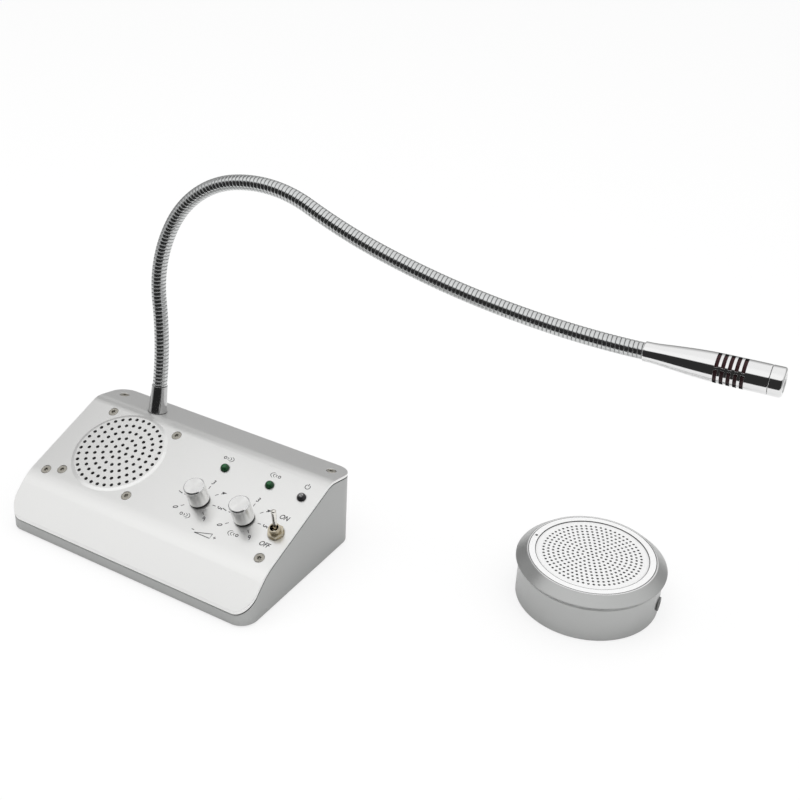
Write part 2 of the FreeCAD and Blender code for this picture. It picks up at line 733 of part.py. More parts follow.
switch_box = box("switch_box", "switch_width", "switch_length", "switch_depth", SWITCH_X, "-switch_run",
                 "-cover_sheet - switch_depth")
switch_bush = switch_cylinder("switch_bush", "bush_diameter", "cover_sheet + switch_bush_rise",
                              "-cover_sheet")
switch_tags = [box(f"switch_tag_{k}", "switch_width / 3", "panel_washer_sheet", "switch_depth / 2", SWITCH_X,
                   f"-switch_run + {k} * switch_length / 3", "-cover_sheet - switch_depth * 1.5")
               for k in (-1, 0, 1)]
switch_bore = switch_cylinder("switch_bore", "switch_bush_bore",
                              "switch_bush_rise + cover_sheet + switch_depth / 2",
                              "-cover_sheet - switch_depth / 2 + slip")
sub_part(cut("switch_body", join("switch_blank", switch_box, switch_bush, *switch_tags), switch_bore),
         "switch_case", on_slope)

BUSHES = (("internal", INTERNAL_X, "-knob_run", "pot_nut_height"),
          ("external", EXTERNAL_X, "-knob_run", "pot_nut_height"),
          ("switch", SWITCH_X, "-switch_run", "switch_nut_height"))
panel_washers = [washer(f"{name}_washer", "panel_washer", "bush_diameter", "panel_washer_sheet", x, y, "0")
                 for name, x, y, _ in BUSHES]
panel_nuts = [ring_nut(f"{name}_nut", "panel_nut_flats", "bush_diameter", height, x, y, "panel_washer_sheet")
              for name, x, y, height in BUSHES]
sub_part(group("panel_washer_set", *panel_washers), "panel_washers", on_slope)
sub_part(group("panel_nut_set", *panel_nuts), "panel_nuts", on_slope)


lever_ball = bind(doc.addObject("Part::Sphere", "lever_ball"), Radius="lever_ball / 2")
lever_rod = cone("lever_rod", "lever_foot", "lever_tip", "lever_length - lever_tip / 2")
lever_end = put(bind(doc.addObject("Part::Sphere", "lever_end"), Radius="lever_tip / 2"),
                z="lever_length - lever_tip / 2")
lever_heel = cylinder("lever_heel", "lever_foot", "lever_tail", z="-lever_tail")
lever = join("lever", lever_ball, lever_rod, lever_end, lever_heel)
sub_part(put(lever, SWITCH_X, "-switch_run", "lever_pivot", -X_AXIS, "lever_angle"), "switch_lever", on_slope)


# ---------------------------------------------------------------- lamps

LAMPS = (("inner_lamp", INNER_LAMP_X), ("outer_lamp", OUTER_LAMP_X), ("power_lamp", POWER_LAMP_X))
LAMP_FOOT = "(-cover_sheet - lamp_diameter * 0.7)"


def lamp(name, x):
    """Round-headed lamp: dome through the cover, flange under it, two legs."""
    stem = cylinder(f"{name}_stem", "lamp_diameter", "cover_sheet", x, "-lamp_run", "-cover_sheet")
    dome = bind(doc.addObject("Part::Sphere", f"{name}_dome"), Radius="lamp_diameter / 2", Angle1="0",
                Angle2="90")
    put(dome, x, "-lamp_run", 0)
    flange = cylinder(f"{name}_flange", "lamp_flange", "lamp_diameter / 5", x, "-lamp_run",
                      "-cover_sheet - lamp_diameter / 5")
    legs = [box(f"{name}_leg_{k}", "lamp_diameter / 10", "lamp_diameter / 10", "lamp_diameter * 1.5",
                f"{x} + {k} * lamp_diameter / 4", "-lamp_run", "-cover_sheet - lamp_diameter * 1.6")
            for k in (-1, 1)]
    return join(name, stem, dome, flange, *legs)


for name, x in LAMPS:
    sub_part(lamp(f"{name}_bulb", x), name, on_slope)


# ---------------------------------------------------------------- circuit board

BOARD_X = from_right("board_inset - board_length / 2")
BOARD_LEFT = from_right("board_inset - board_length")
BOARD_FRONT = "(board_end_gap - console_depth / 2)"
BOARD_WIDTH = "(console_depth - 2 * board_end_gap)"
FLOOR_Z = "(foot_rise + tray_floor)"
BOARD_Z = f"({FLOOR_Z} + pillar_height)"
BOARD_TOP = f"({BOARD_Z} + board_sheet)"


def board_corner(i, j):
    """Place of one of the board's four pillars."""
    return f"{BOARD_X} + {i} * (board_length / 2 - pillar_inset)", f"{j} * ({BOARD_WIDTH} / 2 - pillar_inset)"


def pillar(name, x, y):
    """Tapped pillar between the tray's floor and the board."""
    return washer(name, "pillar_diameter", "screw_thread", "pillar_height", x, y, FLOOR_Z)


def pan_screw(name, reach, x, y, seat):
    """Round-headed screw, its head on z = seat."""
    head = cylinder(f"{name}_head", "screw_head", "screw_thread / 2", x, y, seat)
    shank = cylinder(f"{name}_shank", "screw_thread", reach, x, y, f"{seat} - ({reach})")
    return join(name, head, shank)


board_plate = box("board_plate", "board_length", BOARD_WIDTH, "board_sheet", BOARD_X, 0, BOARD_Z)
board_holes = [cylinder(f"board_hole_{i}{j}", "screw_thread", "4 * board_sheet", *board_corner(i, j),
                        f"{BOARD_Z} - board_sheet") for i, j in CORNERS]
sub_part(cut("board", board_plate, *board_holes), "main_board")
sub_part(group("pillar_set", *(pillar(f"pillar_{i}{j}", *board_corner(i, j)) for i, j in CORNERS)),
         "board_pillars")
sub_part(group("board_screw_set", *(pan_screw(f"board_screw_{i}{j}", "board_sheet + pillar_height * 0.8",
                                              *board_corner(i, j), BOARD_TOP)
                                      for i, j in CORNERS)), "board_screws")


def heat_sink():
    """Finned block with the amplifier's chip against it."""
    x, y = f"{BOARD_LEFT} + board_length * 0.3", f"{BOARD_FRONT} + {BOARD_WIDTH} * 0.7"
    length = "board_length * 0.35"
    foot = box("sink_foot", length, "heat_sink_height / 2", "board_sheet", x, y, BOARD_TOP)
    fins = [box(f"sink_fin_{k}", "board_sheet", "heat_sink_height / 2", "heat_sink_height",
                f"{x} + {k} * ({length} - board_sheet) / 6", y, BOARD_TOP) for k in range(-3, 4)]
    chip = box("amplifier_chip", f"{length} / 2", "board_sheet * 2", "heat_sink_height * 0.8", x,
               f"{y} - heat_sink_height / 4 - board_sheet", BOARD_TOP)
    return group("amplifier_set", join("sink", foot, *fins), chip)


def board_chips():
    """Capacitors in a row and two flat chips."""
    cans = [cylinder(f"can_{k}", "heat_sink_height * 0.45", "heat_sink_height * 0.8",
                     f"{BOARD_LEFT} + board_length * {0.55 + 0.11 * k}",
                      f"{BOARD_FRONT} + {BOARD_WIDTH} * 0.75",
                     BOARD_TOP) for k in range(4)]
    chips = [box(f"chip_{k}", "heat_sink_height", "heat_sink_height * 0.45", "board_sheet * 1.5",
                 f"{BOARD_LEFT} + board_length * {0.3 + 0.35 * k}",
                  f"{BOARD_FRONT} + {BOARD_WIDTH} * 0.35", BOARD_TOP)
             for k in range(2)]
    return group("chip_set", *cans, *chips)


sub_part(heat_sink(), "amplifier_block")
sub_part(board_chips(), "board_components")


# ---------------------------------------------------------------- rear sockets

def wall_cylinder(name, diameter, height, x, y):
    """Cylinder that runs towards the back from y, at the sockets' height."""
    return cylinder(name, diameter, height, x, f"{y} + ({height})", "foot_rise + socket_height", X_AXIS, 90)


def socket(name, x, neck, bore, pin=None):
    """Socket with its case inside the rear wall, its square neck through it and a round flange outside."""
    side = f"({neck} + 2 * socket_case_wall)"
    case = box(f"{name}_case", side, "socket_body", side, x, f"{WALL_Y} - tray_wall - socket_body / 2",
               f"foot_rise + socket_height - {side} / 2")
    barrel = box(f"{name}_barrel", neck, "tray_wall", neck, x, f"{WALL_Y} - tray_wall / 2",
                 f"foot_rise + socket_height - {neck} / 2")
    flange = wall_cylinder(f"{name}_flange", f"{neck} * sqrt(2) + 2 * socket_flange_lap", "socket_flange", x,
                           WALL_Y)
    hollow = wall_cylinder(f"{name}_hollow", bore, "socket_body * 0.8 + tray_wall + 2 * socket_flange", x,
                           f"{WALL_Y} - tray_wall - socket_body * 0.8")
    shell = cut(f"{name}_shell", join(f"{name}_blank", case, barrel, flange), hollow)
    if pin is None:
        return shell
    return join(name, shell, wall_cylinder(f"{name}_pin", pin, "socket_body * 0.8 + tray_wall", x,
                                           f"{WALL_Y} - tray_wall - socket_body * 0.8"))


sub_part(socket("power_inlet_body", POWER_SOCKET_X, "power_neck", "power_bore", "power_pin"), "power_inlet")
sub_part(socket("unit_jack", UNIT_SOCKET_X, "jack_neck", "jack_bore"), "unit_socket")
sub_part(socket("line_jack", LINE_SOCKET_X, "jack_neck", "jack_bore"), "line_socket")


# ---------------------------------------------------------------- ferrule

FERRULE_NUT_Z = "-cover_sheet - slip - ferrule_washer_sheet - ferrule_nut_height"


def ferrule_cylinder(name, diameter, height, z):
    """Round piece on the ferrule's axis, in the ROOF frame."""
    return cylinder(name, diameter, height, FERRULE_X, "ferrule_run", z)


JOINT_RISE = "(ferrule_height + cup_gap)"
ferrule_taper = cone("ferrule_taper", "ferrule_foot", "ferrule_top", "ferrule_height", FERRULE_X,
                     "ferrule_run", 0)
ferrule_stub = ferrule_cylinder("ferrule_stub", "ferrule_thread", f"-({FERRULE_NUT_Z}) + cover_sheet",
                                f"{FERRULE_NUT_Z} - cover_sheet")
ferrule_bore = ferrule_cylinder("ferrule_bore", "neck_bore", "4 * ferrule_height", "-2 * ferrule_height")
ferrule_cup = put(bind(doc.addObject("Part::Sphere", "ferrule_cup"),
                       Radius="neck_diameter / 2 + cup_clearance"),
                  FERRULE_X, "ferrule_run", JOINT_RISE)
sub_part(cut("ferrule_body", join("ferrule_blank", ferrule_taper, ferrule_stub), ferrule_bore, ferrule_cup),
         "ferrule", on_roof)
sub_part(washer("ferrule_ring", "ferrule_washer", "ferrule_thread", "ferrule_washer_sheet", FERRULE_X,
                "ferrule_run", "-cover_sheet - slip - ferrule_washer_sheet"), "ferrule_washer", on_roof)
sub_part(ring_nut("ferrule_hexagon", "ferrule_nut_flats", "ferrule_thread", "ferrule_nut_height", FERRULE_X,
                  "ferrule_run", FERRULE_NUT_Z), "ferrule_nut", on_roof)


# ---------------------------------------------------------------- bendable neck

NECK_LENGTHS = 8


def neck_frames():
    """Frames of the neck's joints, then of the microphone's foot: +Z along the neck, +X in its plane."""
    ridge = Vector(0, size("ridge_back"), size("foot_rise") + size("ridge_height"))
    roof = Placement(ridge, Rotation(X_AXIS, -size("roof_angle")))
    foot = Vector(size("ferrule_inset") - size("console_width") / 2, size("ferrule_run"),
                  size("ferrule_height") + size("cup_gap"))
    frames = [roof * Placement(foot, Rotation(Z_AXIS, size("neck_angle")))]
    for index in range(1, NECK_LENGTHS + 1):
        bend = math.radians(size(f"bend_angle_{index}"))
        radius = size("neck_pitch") / bend
        step = Vector(-radius * (1 - math.cos(bend)), 0, radius * math.sin(bend))
        frames.append(frames[-1] * Placement(step, Rotation(Y_AXIS, -size(f"bend_angle_{index}"))))
    return frames


def bent_bar(name, diameter, bend, share="1"):
    """Round bar along one length's arc, or along the first `share` of it, from the origin towards +Z."""
    radius = f"(neck_pitch / (abs({bend}) * pi / 180))"
    bar = bind(doc.addObject("Part::Torus", name), Radius1=radius, Radius2=f"({diameter}) / 2",
               Angle3=f"abs({bend}) * ({share})")
    leaning = size(bend) > 0
    upright_arc = Rotation(X_AXIS, 90)
    bar.Placement = Placement(Vector(), upright_arc if leaning else Rotation(Z_AXIS, 180) * upright_arc)
    bar.setExpression("Placement.Base.x", formula(f"{-1 if leaning else 1} * {radius}"))
    return bar


def neck_length(index):
    """One rigid length of the neck, in its lower joint's frame: a ball below, a cup above, bored through."""
    name, bend = f"neck_{index}", f"bend_angle_{index}"
    frames = neck_frames()
    end = frames[index - 1].inverse() * frames[index]
    last = index == NECK_LENGTHS
    bar = bent_bar(f"{name}_bar", "neck_diameter", bend, "1" if last else "1 - cup_gap / neck_pitch")
    ball = bind(doc.addObject("Part::Sphere", f"{name}_ball"), Radius="neck_diameter / 2", Angle1="-90",
                Angle2="0")
    duct = bent_bar(f"{name}_duct", "neck_bore", bend)
    throat = cylinder(f"{name}_throat", "neck_bore", "neck_diameter", z="-neck_diameter")
    if last:
        tip = cylinder(f"{name}_spigot", "neck_diameter", "mic_pocket")
        tip_hollow = cylinder(f"{name}_spigot_duct", "neck_bore", "mic_pocket")
    else:
        tip = None
        tip_hollow = bind(doc.addObject("Part::Sphere", f"{name}_cup"),
                          Radius="neck_diameter / 2 + cup_clearance")
    for piece in filter(None, (tip, tip_hollow)):
        piece.Placement = end
    made = cut(name, join(f"{name}_solid", bar, ball, *filter(None, [tip])),
               join(f"{name}_hollow", duct, throat, tip_hollow))
    made.Placement = frames[index - 1]
    return made


for index in range(1, NECK_LENGTHS + 1):
    sub_part(neck_length(index), f"neck_length_{index}")
MIC_FRAME = neck_frames()[-1]


# ---------------------------------------------------------------- microphone

def at_mic(obj):
    """Carry an object from the microphone's frame: +Z towards its tip."""
    obj.Placement = MIC_FRAME
    return obj


BARREL_STEPS = (
    ("tail", "mic_neck_diameter", "mic_neck_diameter", "0", "mic_pocket"),
    ("flare", "mic_neck_diameter", "mic_waist_diameter", "mic_pocket", "mic_waist_at"),
    ("waist", "mic_waist_diameter", "mic_head_diameter", "mic_waist_at", "mic_head_at"),
    ("head", "mic_head_diameter", "mic_head_diameter", "mic_head_at", "mic_cap_at"),
)


def stacked(name, low, high, start, stop):
    """Cone or cylinder between two stations of the microphone's length."""
    height = f"({stop}) - ({start})"
    if low == high:
        return cylinder(name, low, height, z=start)
    return cone(name, low, high, height, z=start)


barrel_blank = join("barrel_blank", *(stacked(f"barrel_{name}", *rest) for name, *rest in BARREL_STEPS))
barrel_bores = [
    cylinder("barrel_pocket", "neck_diameter", "mic_pocket", z=0),
    cylinder("barrel_duct", "neck_bore", "mic_cap_at", z=0),
    cylinder("barrel_bore", "mic_bore", "mic_cap_at - mic_bore_at", z="mic_bore_at"),
]
slot_rings = [cylinder(f"slot_{k}", "2 * mic_head_diameter", "mic_slot_width",
                       z=f"mic_slot_at - mic_slot_width / 2 + {k} * mic_slot_pitch")
              for k in range(int(size("mic_slots")))]
web_bars = []
for k in range(2):
    bar = box(f"web_{k}", "3 * mic_head_diameter", "mic_head_diameter * sin(mic_web_angle / 2)",
              "(mic_slots + 1) * mic_slot_pitch", z="mic_slot_at - mic_slot_pitch")
    turned = group(f"web_turned_{k}", bar)
    turned.Placement = Placement(Vector(), Rotation(Z_AXIS, size("mic_web_turn") + 90 * k))
    web_bars.append(turned)
slots = cut("slots", group("slot_set", *slot_rings), join("webs", *web_bars))
sub_part(cut("barrel", cut("barrel_hollow", barrel_blank, join("barrel_bores", *barrel_bores)), slots),
         "mic_barrel", at_mic)

def round_end(edge):
    """Whether an edge is the rim of the end cap's outer face."""
    return edge.BoundBox.ZMin > size("mic_cap_at") + size("mic_cap_length") - ROUNDING


cap_blank = cylinder("cap_blank", "mic_head_diameter", "mic_cap_length", z="mic_cap_at")
cap_round = rounded("cap_round", cap_blank, size("mic_cap_round"), round_end)
cap_spigot = cylinder("cap_spigot", "mic_bore", "mic_cap_length / 2", z="mic_cap_at - mic_cap_length / 2")
cap_hollow = cylinder("cap_hollow", "mic_bore - 2 * cover_sheet", "mic_cap_length",
                      z="mic_cap_at - mic_cap_length / 2")
cap_port = cylinder("cap_port", "grille_hole", "2 * mic_cap_length", z="mic_cap_at")
sub_part(cut("end_cap", join("cap_solid", cap_round, cap_spigot), cap_hollow, cap_port), "mic_end_cap",
         at_mic)

SCREEN_LENGTH = "(mic_slots + 1) * mic_slot_pitch"
sub_part(washer("screen", "mic_bore", "mic_bore - 2 * mic_screen_wall", SCREEN_LENGTH, "0", "0",
                "mic_slot_at - mic_slot_pitch"), "mic_screen", at_mic)
CAPSULE_Z = "(mic_cap_at - mic_cap_length / 2 - capsule_height)"
sub_part(cylinder("capsule", "capsule_diameter", "capsule_height", z=CAPSULE_Z), "mic_capsule", at_mic)
sub_part(washer("boot", "mic_bore", "capsule_diameter", "capsule_height", "0", "0", CAPSULE_Z), "mic_boot",
         at_mic)


# ---------------------------------------------------------------- outside unit

RING_BOTTOM = "(unit_height - unit_ring_sheet)"
WINDOW_STEP = "(unit_grille_sheet + unit_grille_sink)"
PLATE_Z = "unit_pad_sheet"
PLATE_END = "(unit_pad_sheet + unit_plate_sheet)"
UNIT_BORE = "(unit_body_diameter - 2 * unit_wall)"
UNIT_MIC_RADIUS = "((unit_ring_diameter + unit_ring_window) / 4)"
POST_RADIUS = f"({UNIT_BORE} / 2 - screw_head / 2 - unit_wall / 4)"
POST_ANGLES = (60, 180, 300)


def round_the_unit(radius, angle):
    """Place at a radius and an angle about the unit's axis."""
    return f"{radius} * cos({angle})", f"{radius} * sin({angle})"


body = cylinder("unit_body", "unit_body_diameter", "unit_waist_height - unit_pad_sheet / 2",
                z="unit_pad_sheet / 2")
shoulder = cone("unit_shoulder", "unit_body_diameter", "unit_rim_diameter",
                "unit_rim_height - unit_waist_height",
                z="unit_waist_height")
bevel = cone("unit_bevel", "unit_rim_diameter", "unit_lip_diameter", "unit_height - unit_rim_height",
             z="unit_rim_height")
unit_hollow = cylinder("unit_hollow", UNIT_BORE, "unit_waist_height", z=0)
ring_seat = cylinder("unit_ring_seat", "unit_ring_diameter + 2 * slip", "2 * unit_ring_sheet", z=RING_BOTTOM)
mouth = cylinder("unit_mouth", "unit_ring_diameter - 2 * unit_wall", "2 * unit_height", z=0)
unit_posts = [cylinder(f"unit_post_{k}", "unit_post_diameter", f"unit_waist_height - {PLATE_END}",
                       *round_the_unit(POST_RADIUS, angle), PLATE_END) for k, angle in enumerate(POST_ANGLES)]
post_taps = [cylinder(f"unit_tap_{k}", "screw_thread", "screw_reach", *round_the_unit(POST_RADIUS, angle),
                      PLATE_END)
             for k, angle in enumerate(POST_ANGLES)]
mic_pocket = cylinder("unit_mic_pocket", "unit_mic_diameter + 2 * slip", "unit_height",
                      *round_the_unit(UNIT_MIC_RADIUS, "unit_mic_angle"), "unit_waist_height / 2")
inlet_drill = box("unit_inlet_drill", "unit_body_diameter", "unit_inlet_hole", "unit_inlet_hole",
                  "unit_body_diameter / 2", 0, "unit_inlet_height - unit_inlet_hole / 2")
inlet_turned = put(group("unit_inlet_turned", inlet_drill), 0, 0, 0, Z_AXIS, "unit_inlet_angle")
housing = cut("unit_shell", join("unit_outer", body, shoulder, bevel), unit_hollow, ring_seat, mouth)
sub_part(cut("unit_case", housing, mic_pocket, inlet_turned), "unit_housing", at_unit)
trimmed_posts = common("unit_trimmed_posts", group("unit_post_set", *unit_posts), unit_hollow)
sub_part(cut("unit_tapped_posts", trimmed_posts, group("unit_taps", *post_taps)), "unit_posts", at_unit)

ring_disc = cylinder("front_ring_disc", "unit_ring_diameter", "unit_ring_sheet", z=RING_BOTTOM)
ring_window = cylinder("front_ring_window", "unit_ring_window", "unit_ring_sheet",
                       z=f"unit_height - {WINDOW_STEP}")
ring_lip = cylinder("front_ring_lip", "unit_ring_lip", "4 * unit_ring_sheet",
                    z=f"{RING_BOTTOM} - unit_ring_sheet")
ring_mic_hole = cylinder("front_ring_mic_hole", "unit_mic_hole", "4 * unit_ring_sheet",
                         *round_the_unit(UNIT_MIC_RADIUS,
                                         "unit_mic_angle"), f"{RING_BOTTOM} - unit_ring_sheet")
sub_part(cut("front_ring", ring_disc, join("ring_tools", ring_window, ring_lip), ring_mic_hole), "unit_ring",
         at_unit)

grille_disc = cylinder("unit_grille_disc", "unit_ring_window - 2 * slip", "unit_grille_sheet",
                       z=f"unit_height - {WINDOW_STEP}")
unit_drills = drills("unit_drills", size("unit_hole"), 6 * size("unit_grille_sheet"),
                     size("unit_height") - 2 * size("unit_ring_sheet"),
                     ring_points(size("unit_hole_rings"), size("unit_hole_pitch"), size("unit_hole_step")))
sub_part(cut("unit_perforated", grille_disc, unit_drills), "unit_grille", at_unit)

UNIT_BASKET = "(unit_speaker_depth * 0.55)"
UNIT_MOUTH = "unit_ring_lip - 2 * unit_wall"
flange_disc = cylinder("unit_flange", "unit_speaker_diameter", "plate_sheet",
                       z=f"{RING_BOTTOM} - plate_sheet")
basket = cone("unit_basket", "speaker_magnet", UNIT_MOUTH, UNIT_BASKET,
              z=f"{RING_BOTTOM} - plate_sheet - {UNIT_BASKET}")
basket_hollow = cone("unit_basket_hollow", "speaker_magnet - 2 * plate_sheet",
                     f"{UNIT_MOUTH} - 2 * plate_sheet",
                     f"{UNIT_BASKET} - plate_sheet", z=f"{RING_BOTTOM} - {UNIT_BASKET}")
basket_mouth = cylinder("unit_basket_mouth", f"{UNIT_MOUTH} - 2 * plate_sheet", "2 * plate_sheet",
                        z=f"{RING_BOTTOM} - plate_sheet")
sub_part(cut("unit_speaker_shell", join("unit_speaker_blank", flange_disc, basket), basket_hollow,
             basket_mouth),
         "unit_speaker_frame", at_unit)
UNIT_MAGNET = "(unit_speaker_depth * 0.45 - plate_sheet)"
sub_part(cylinder("unit_magnet", "speaker_magnet", UNIT_MAGNET,
                  z=f"{RING_BOTTOM} - plate_sheet - {UNIT_BASKET} - {UNIT_MAGNET}"),
         "unit_speaker_magnet", at_unit)
sub_part(paper_cone("unit_paper", f"{UNIT_MOUTH} - 2 * plate_sheet", "speaker_magnet / 2",
                    f"{UNIT_BASKET} * 0.6",
                    "plate_sheet / 4", RING_BOTTOM, in_world), "unit_speaker_cone", at_unit)
sub_part(cylinder("unit_mic_can", "unit_mic_diameter", "unit_mic_diameter",
                  *round_the_unit(UNIT_MIC_RADIUS, "unit_mic_angle"), f"{RING_BOTTOM} - unit_mic_diameter"),
         "unit_mic", at_unit)

plate_disc = cylinder("unit_plate_disc", f"{UNIT_BORE} - 2 * slip", "unit_plate_sheet", z=PLATE_Z)
plate_seats = [cone(f"unit_plate_seat_{k}", "screw_head", "screw_thread", "(screw_head - screw_thread) / 2",
                    *round_the_unit(POST_RADIUS, angle), PLATE_Z) for k, angle in enumerate(POST_ANGLES)]
plate_holes = [cylinder(f"unit_plate_hole_{k}", "screw_thread", "4 * unit_plate_sheet",
                        *round_the_unit(POST_RADIUS, angle), 0) for k, angle in enumerate(POST_ANGLES)]
plate_tools = join("unit_plate_tools", *plate_seats, *plate_holes)
sub_part(cut("unit_plate", plate_disc, plate_tools), "unit_back_plate", at_unit)
unit_screws = []
for k, angle in enumerate(POST_ANGLES):
    x, y = round_the_unit(POST_RADIUS, angle)
    head = cone(f"unit_screw_head_{k}", "screw_head", "screw_thread", "(screw_head - screw_thread) / 2", x, y,
                PLATE_Z)
    shank = cylinder(f"unit_screw_shank_{k}", "screw_thread", "unit_plate_sheet + screw_reach * 0.8", x, y,
                     PLATE_Z)
    unit_screws.append(join(f"unit_screw_{k}", head, shank))
sub_part(group("unit_screw_set", *unit_screws), "unit_screws", at_unit)
sub_part(cylinder("unit_foam", f"{UNIT_BORE} - 2 * unit_wall", "unit_pad_sheet"), "unit_pad", at_unit)

INLET_SEAT = f"(sqrt(({UNIT_BORE} / 2) ^ 2 - (unit_inlet_flange / 2) ^ 2) - slip)"
bush_neck = box("inlet_neck", "unit_inlet_hole - 2 * slip", "unit_inlet_hole - 2 * slip",
                f"unit_body_diameter / 2 - {INLET_SEAT}")
bush_collar = cylinder("inlet_collar", "unit_inlet_collar", "unit_wall / 3", 0, 0,
                       f"unit_body_diameter / 2 - {INLET_SEAT}")
bush_flange = cylinder("inlet_flange", "unit_inlet_flange", "unit_wall / 2", z="-unit_wall / 2")
bush_bore = cylinder("inlet_bore", "unit_inlet_bore", "6 * unit_wall", z="-3 * unit_wall")
bush_upright = cut("inlet_upright", join("inlet_blank", bush_neck, bush_collar, bush_flange), bush_bore)
bush_level = put(group("inlet_level", bush_upright), INLET_SEAT, 0, "unit_inlet_height", Y_AXIS, 90)
sub_part(put(group("inlet_turned", bush_level), 0, 0, 0, Z_AXIS, "unit_inlet_angle"), "unit_cable_bush",
         at_unit)


# ---------------------------------------------------------------- check and write

def main():
    """Recompute, refuse anything broken, and write each sub-part to its own STEP file."""
    doc.recompute()
    broken = [obj.Label for obj in doc.Objects if {"Invalid", "Error"} & set(obj.State)]
    if broken:
        raise RuntimeError(f"failed objects: {broken}")
    for label, obj in sub_parts.items():
        if obj.Shape.isNull() or not obj.Shape.isValid() or not obj.Shape.Solids:
            raise RuntimeError(f"bad shape: {label}")
    os.makedirs("parts", exist_ok=True)
    for label, obj in sub_parts.items():
        obj.Shape.exportStep(f"parts/{label}.step")
        print(f"{label}: {len(obj.Shape.Solids)} solid(s), {obj.Shape.Volume:.1f} mm3")


main()
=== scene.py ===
"""Looks of a counter-window intercom: desk console with a bendable microphone, and its round outside unit.

Sizes are in millimetres and angles in degrees, in the part's own frame: +Z up, the console's front towards
-Y. Meshes are written in metres. Most pieces are drawn in one of these frames, then carried to their place:
  SLOPE  on the console's sloping panel, origin on the ridge line, +Z out of the panel, +Y up the slope;
  ROOF   on the narrow strip behind the ridge, origin on the ridge line, +Z out of the strip;
  NECK   one frame for each joint of the neck, +Z along the neck, its arc in the XZ plane;
  MIC    at the foot of the microphone, +Z towards its tip;
  UNIT   under the middle of the outside unit, +Z up.
"""

import json
import logging
import math
from collections.abc import Sequence
from dataclasses import dataclass, field
from enum import Enum

import bpy
import numpy as np
from mathutils import Matrix, Vector

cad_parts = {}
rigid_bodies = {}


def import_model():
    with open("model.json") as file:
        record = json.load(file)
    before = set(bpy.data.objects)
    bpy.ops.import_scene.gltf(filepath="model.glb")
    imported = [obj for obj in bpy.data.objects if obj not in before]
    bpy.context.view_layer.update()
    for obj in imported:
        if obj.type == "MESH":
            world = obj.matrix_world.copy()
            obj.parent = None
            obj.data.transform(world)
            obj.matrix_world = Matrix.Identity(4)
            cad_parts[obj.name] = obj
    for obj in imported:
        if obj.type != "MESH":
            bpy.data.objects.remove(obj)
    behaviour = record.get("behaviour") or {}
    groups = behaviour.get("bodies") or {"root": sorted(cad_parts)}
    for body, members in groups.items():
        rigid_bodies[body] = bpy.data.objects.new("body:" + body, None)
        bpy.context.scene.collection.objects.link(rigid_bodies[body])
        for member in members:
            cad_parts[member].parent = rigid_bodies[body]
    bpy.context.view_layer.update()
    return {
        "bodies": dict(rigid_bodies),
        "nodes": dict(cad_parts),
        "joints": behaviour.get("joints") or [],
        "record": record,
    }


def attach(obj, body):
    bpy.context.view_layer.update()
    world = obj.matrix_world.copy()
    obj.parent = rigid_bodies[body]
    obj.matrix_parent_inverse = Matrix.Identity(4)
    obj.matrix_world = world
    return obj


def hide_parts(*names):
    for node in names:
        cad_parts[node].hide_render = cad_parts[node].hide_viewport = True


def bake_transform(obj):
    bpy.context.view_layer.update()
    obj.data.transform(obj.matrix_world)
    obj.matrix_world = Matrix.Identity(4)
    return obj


Array = np.ndarray
Color = tuple[float, float, float]
Pairs = tuple[tuple[float, float], ...]
Socket = bpy.types.NodeSocket
Feed = Socket | float

METRES = 0.001
TURN = 2 * math.pi
LOG = logging.getLogger("counter_intercom")


# ---------------------------------------------------------------- frames


def turn(axis: str, degrees: float) -> Array:
    """Matrix of a right-handed turn about the axis "x", "y" or "z"."""
    return np.array(Matrix.Rotation(math.radians(degrees), 3, axis.upper()))


@dataclass(frozen=True)
class Frame:
    """Right-handed frame: its origin, and its axes as the columns of a matrix."""

    origin: Array
    axes: Array

    def place(self, points: Array) -> Array:
        """Carry points from this frame into the part's own."""
        return np.asarray(points, float) @ self.axes.T + self.origin

    def at(self, offset: Sequence[float], axis: str = "z", degrees: float = 0.0) -> "Frame":
        """Frame at an offset in this one, turned about one of its axes."""
        return Frame(self.place(np.array(offset, float)), self.axes @ turn(axis, degrees))


WORLD = Frame(np.zeros(3), np.eye(3))


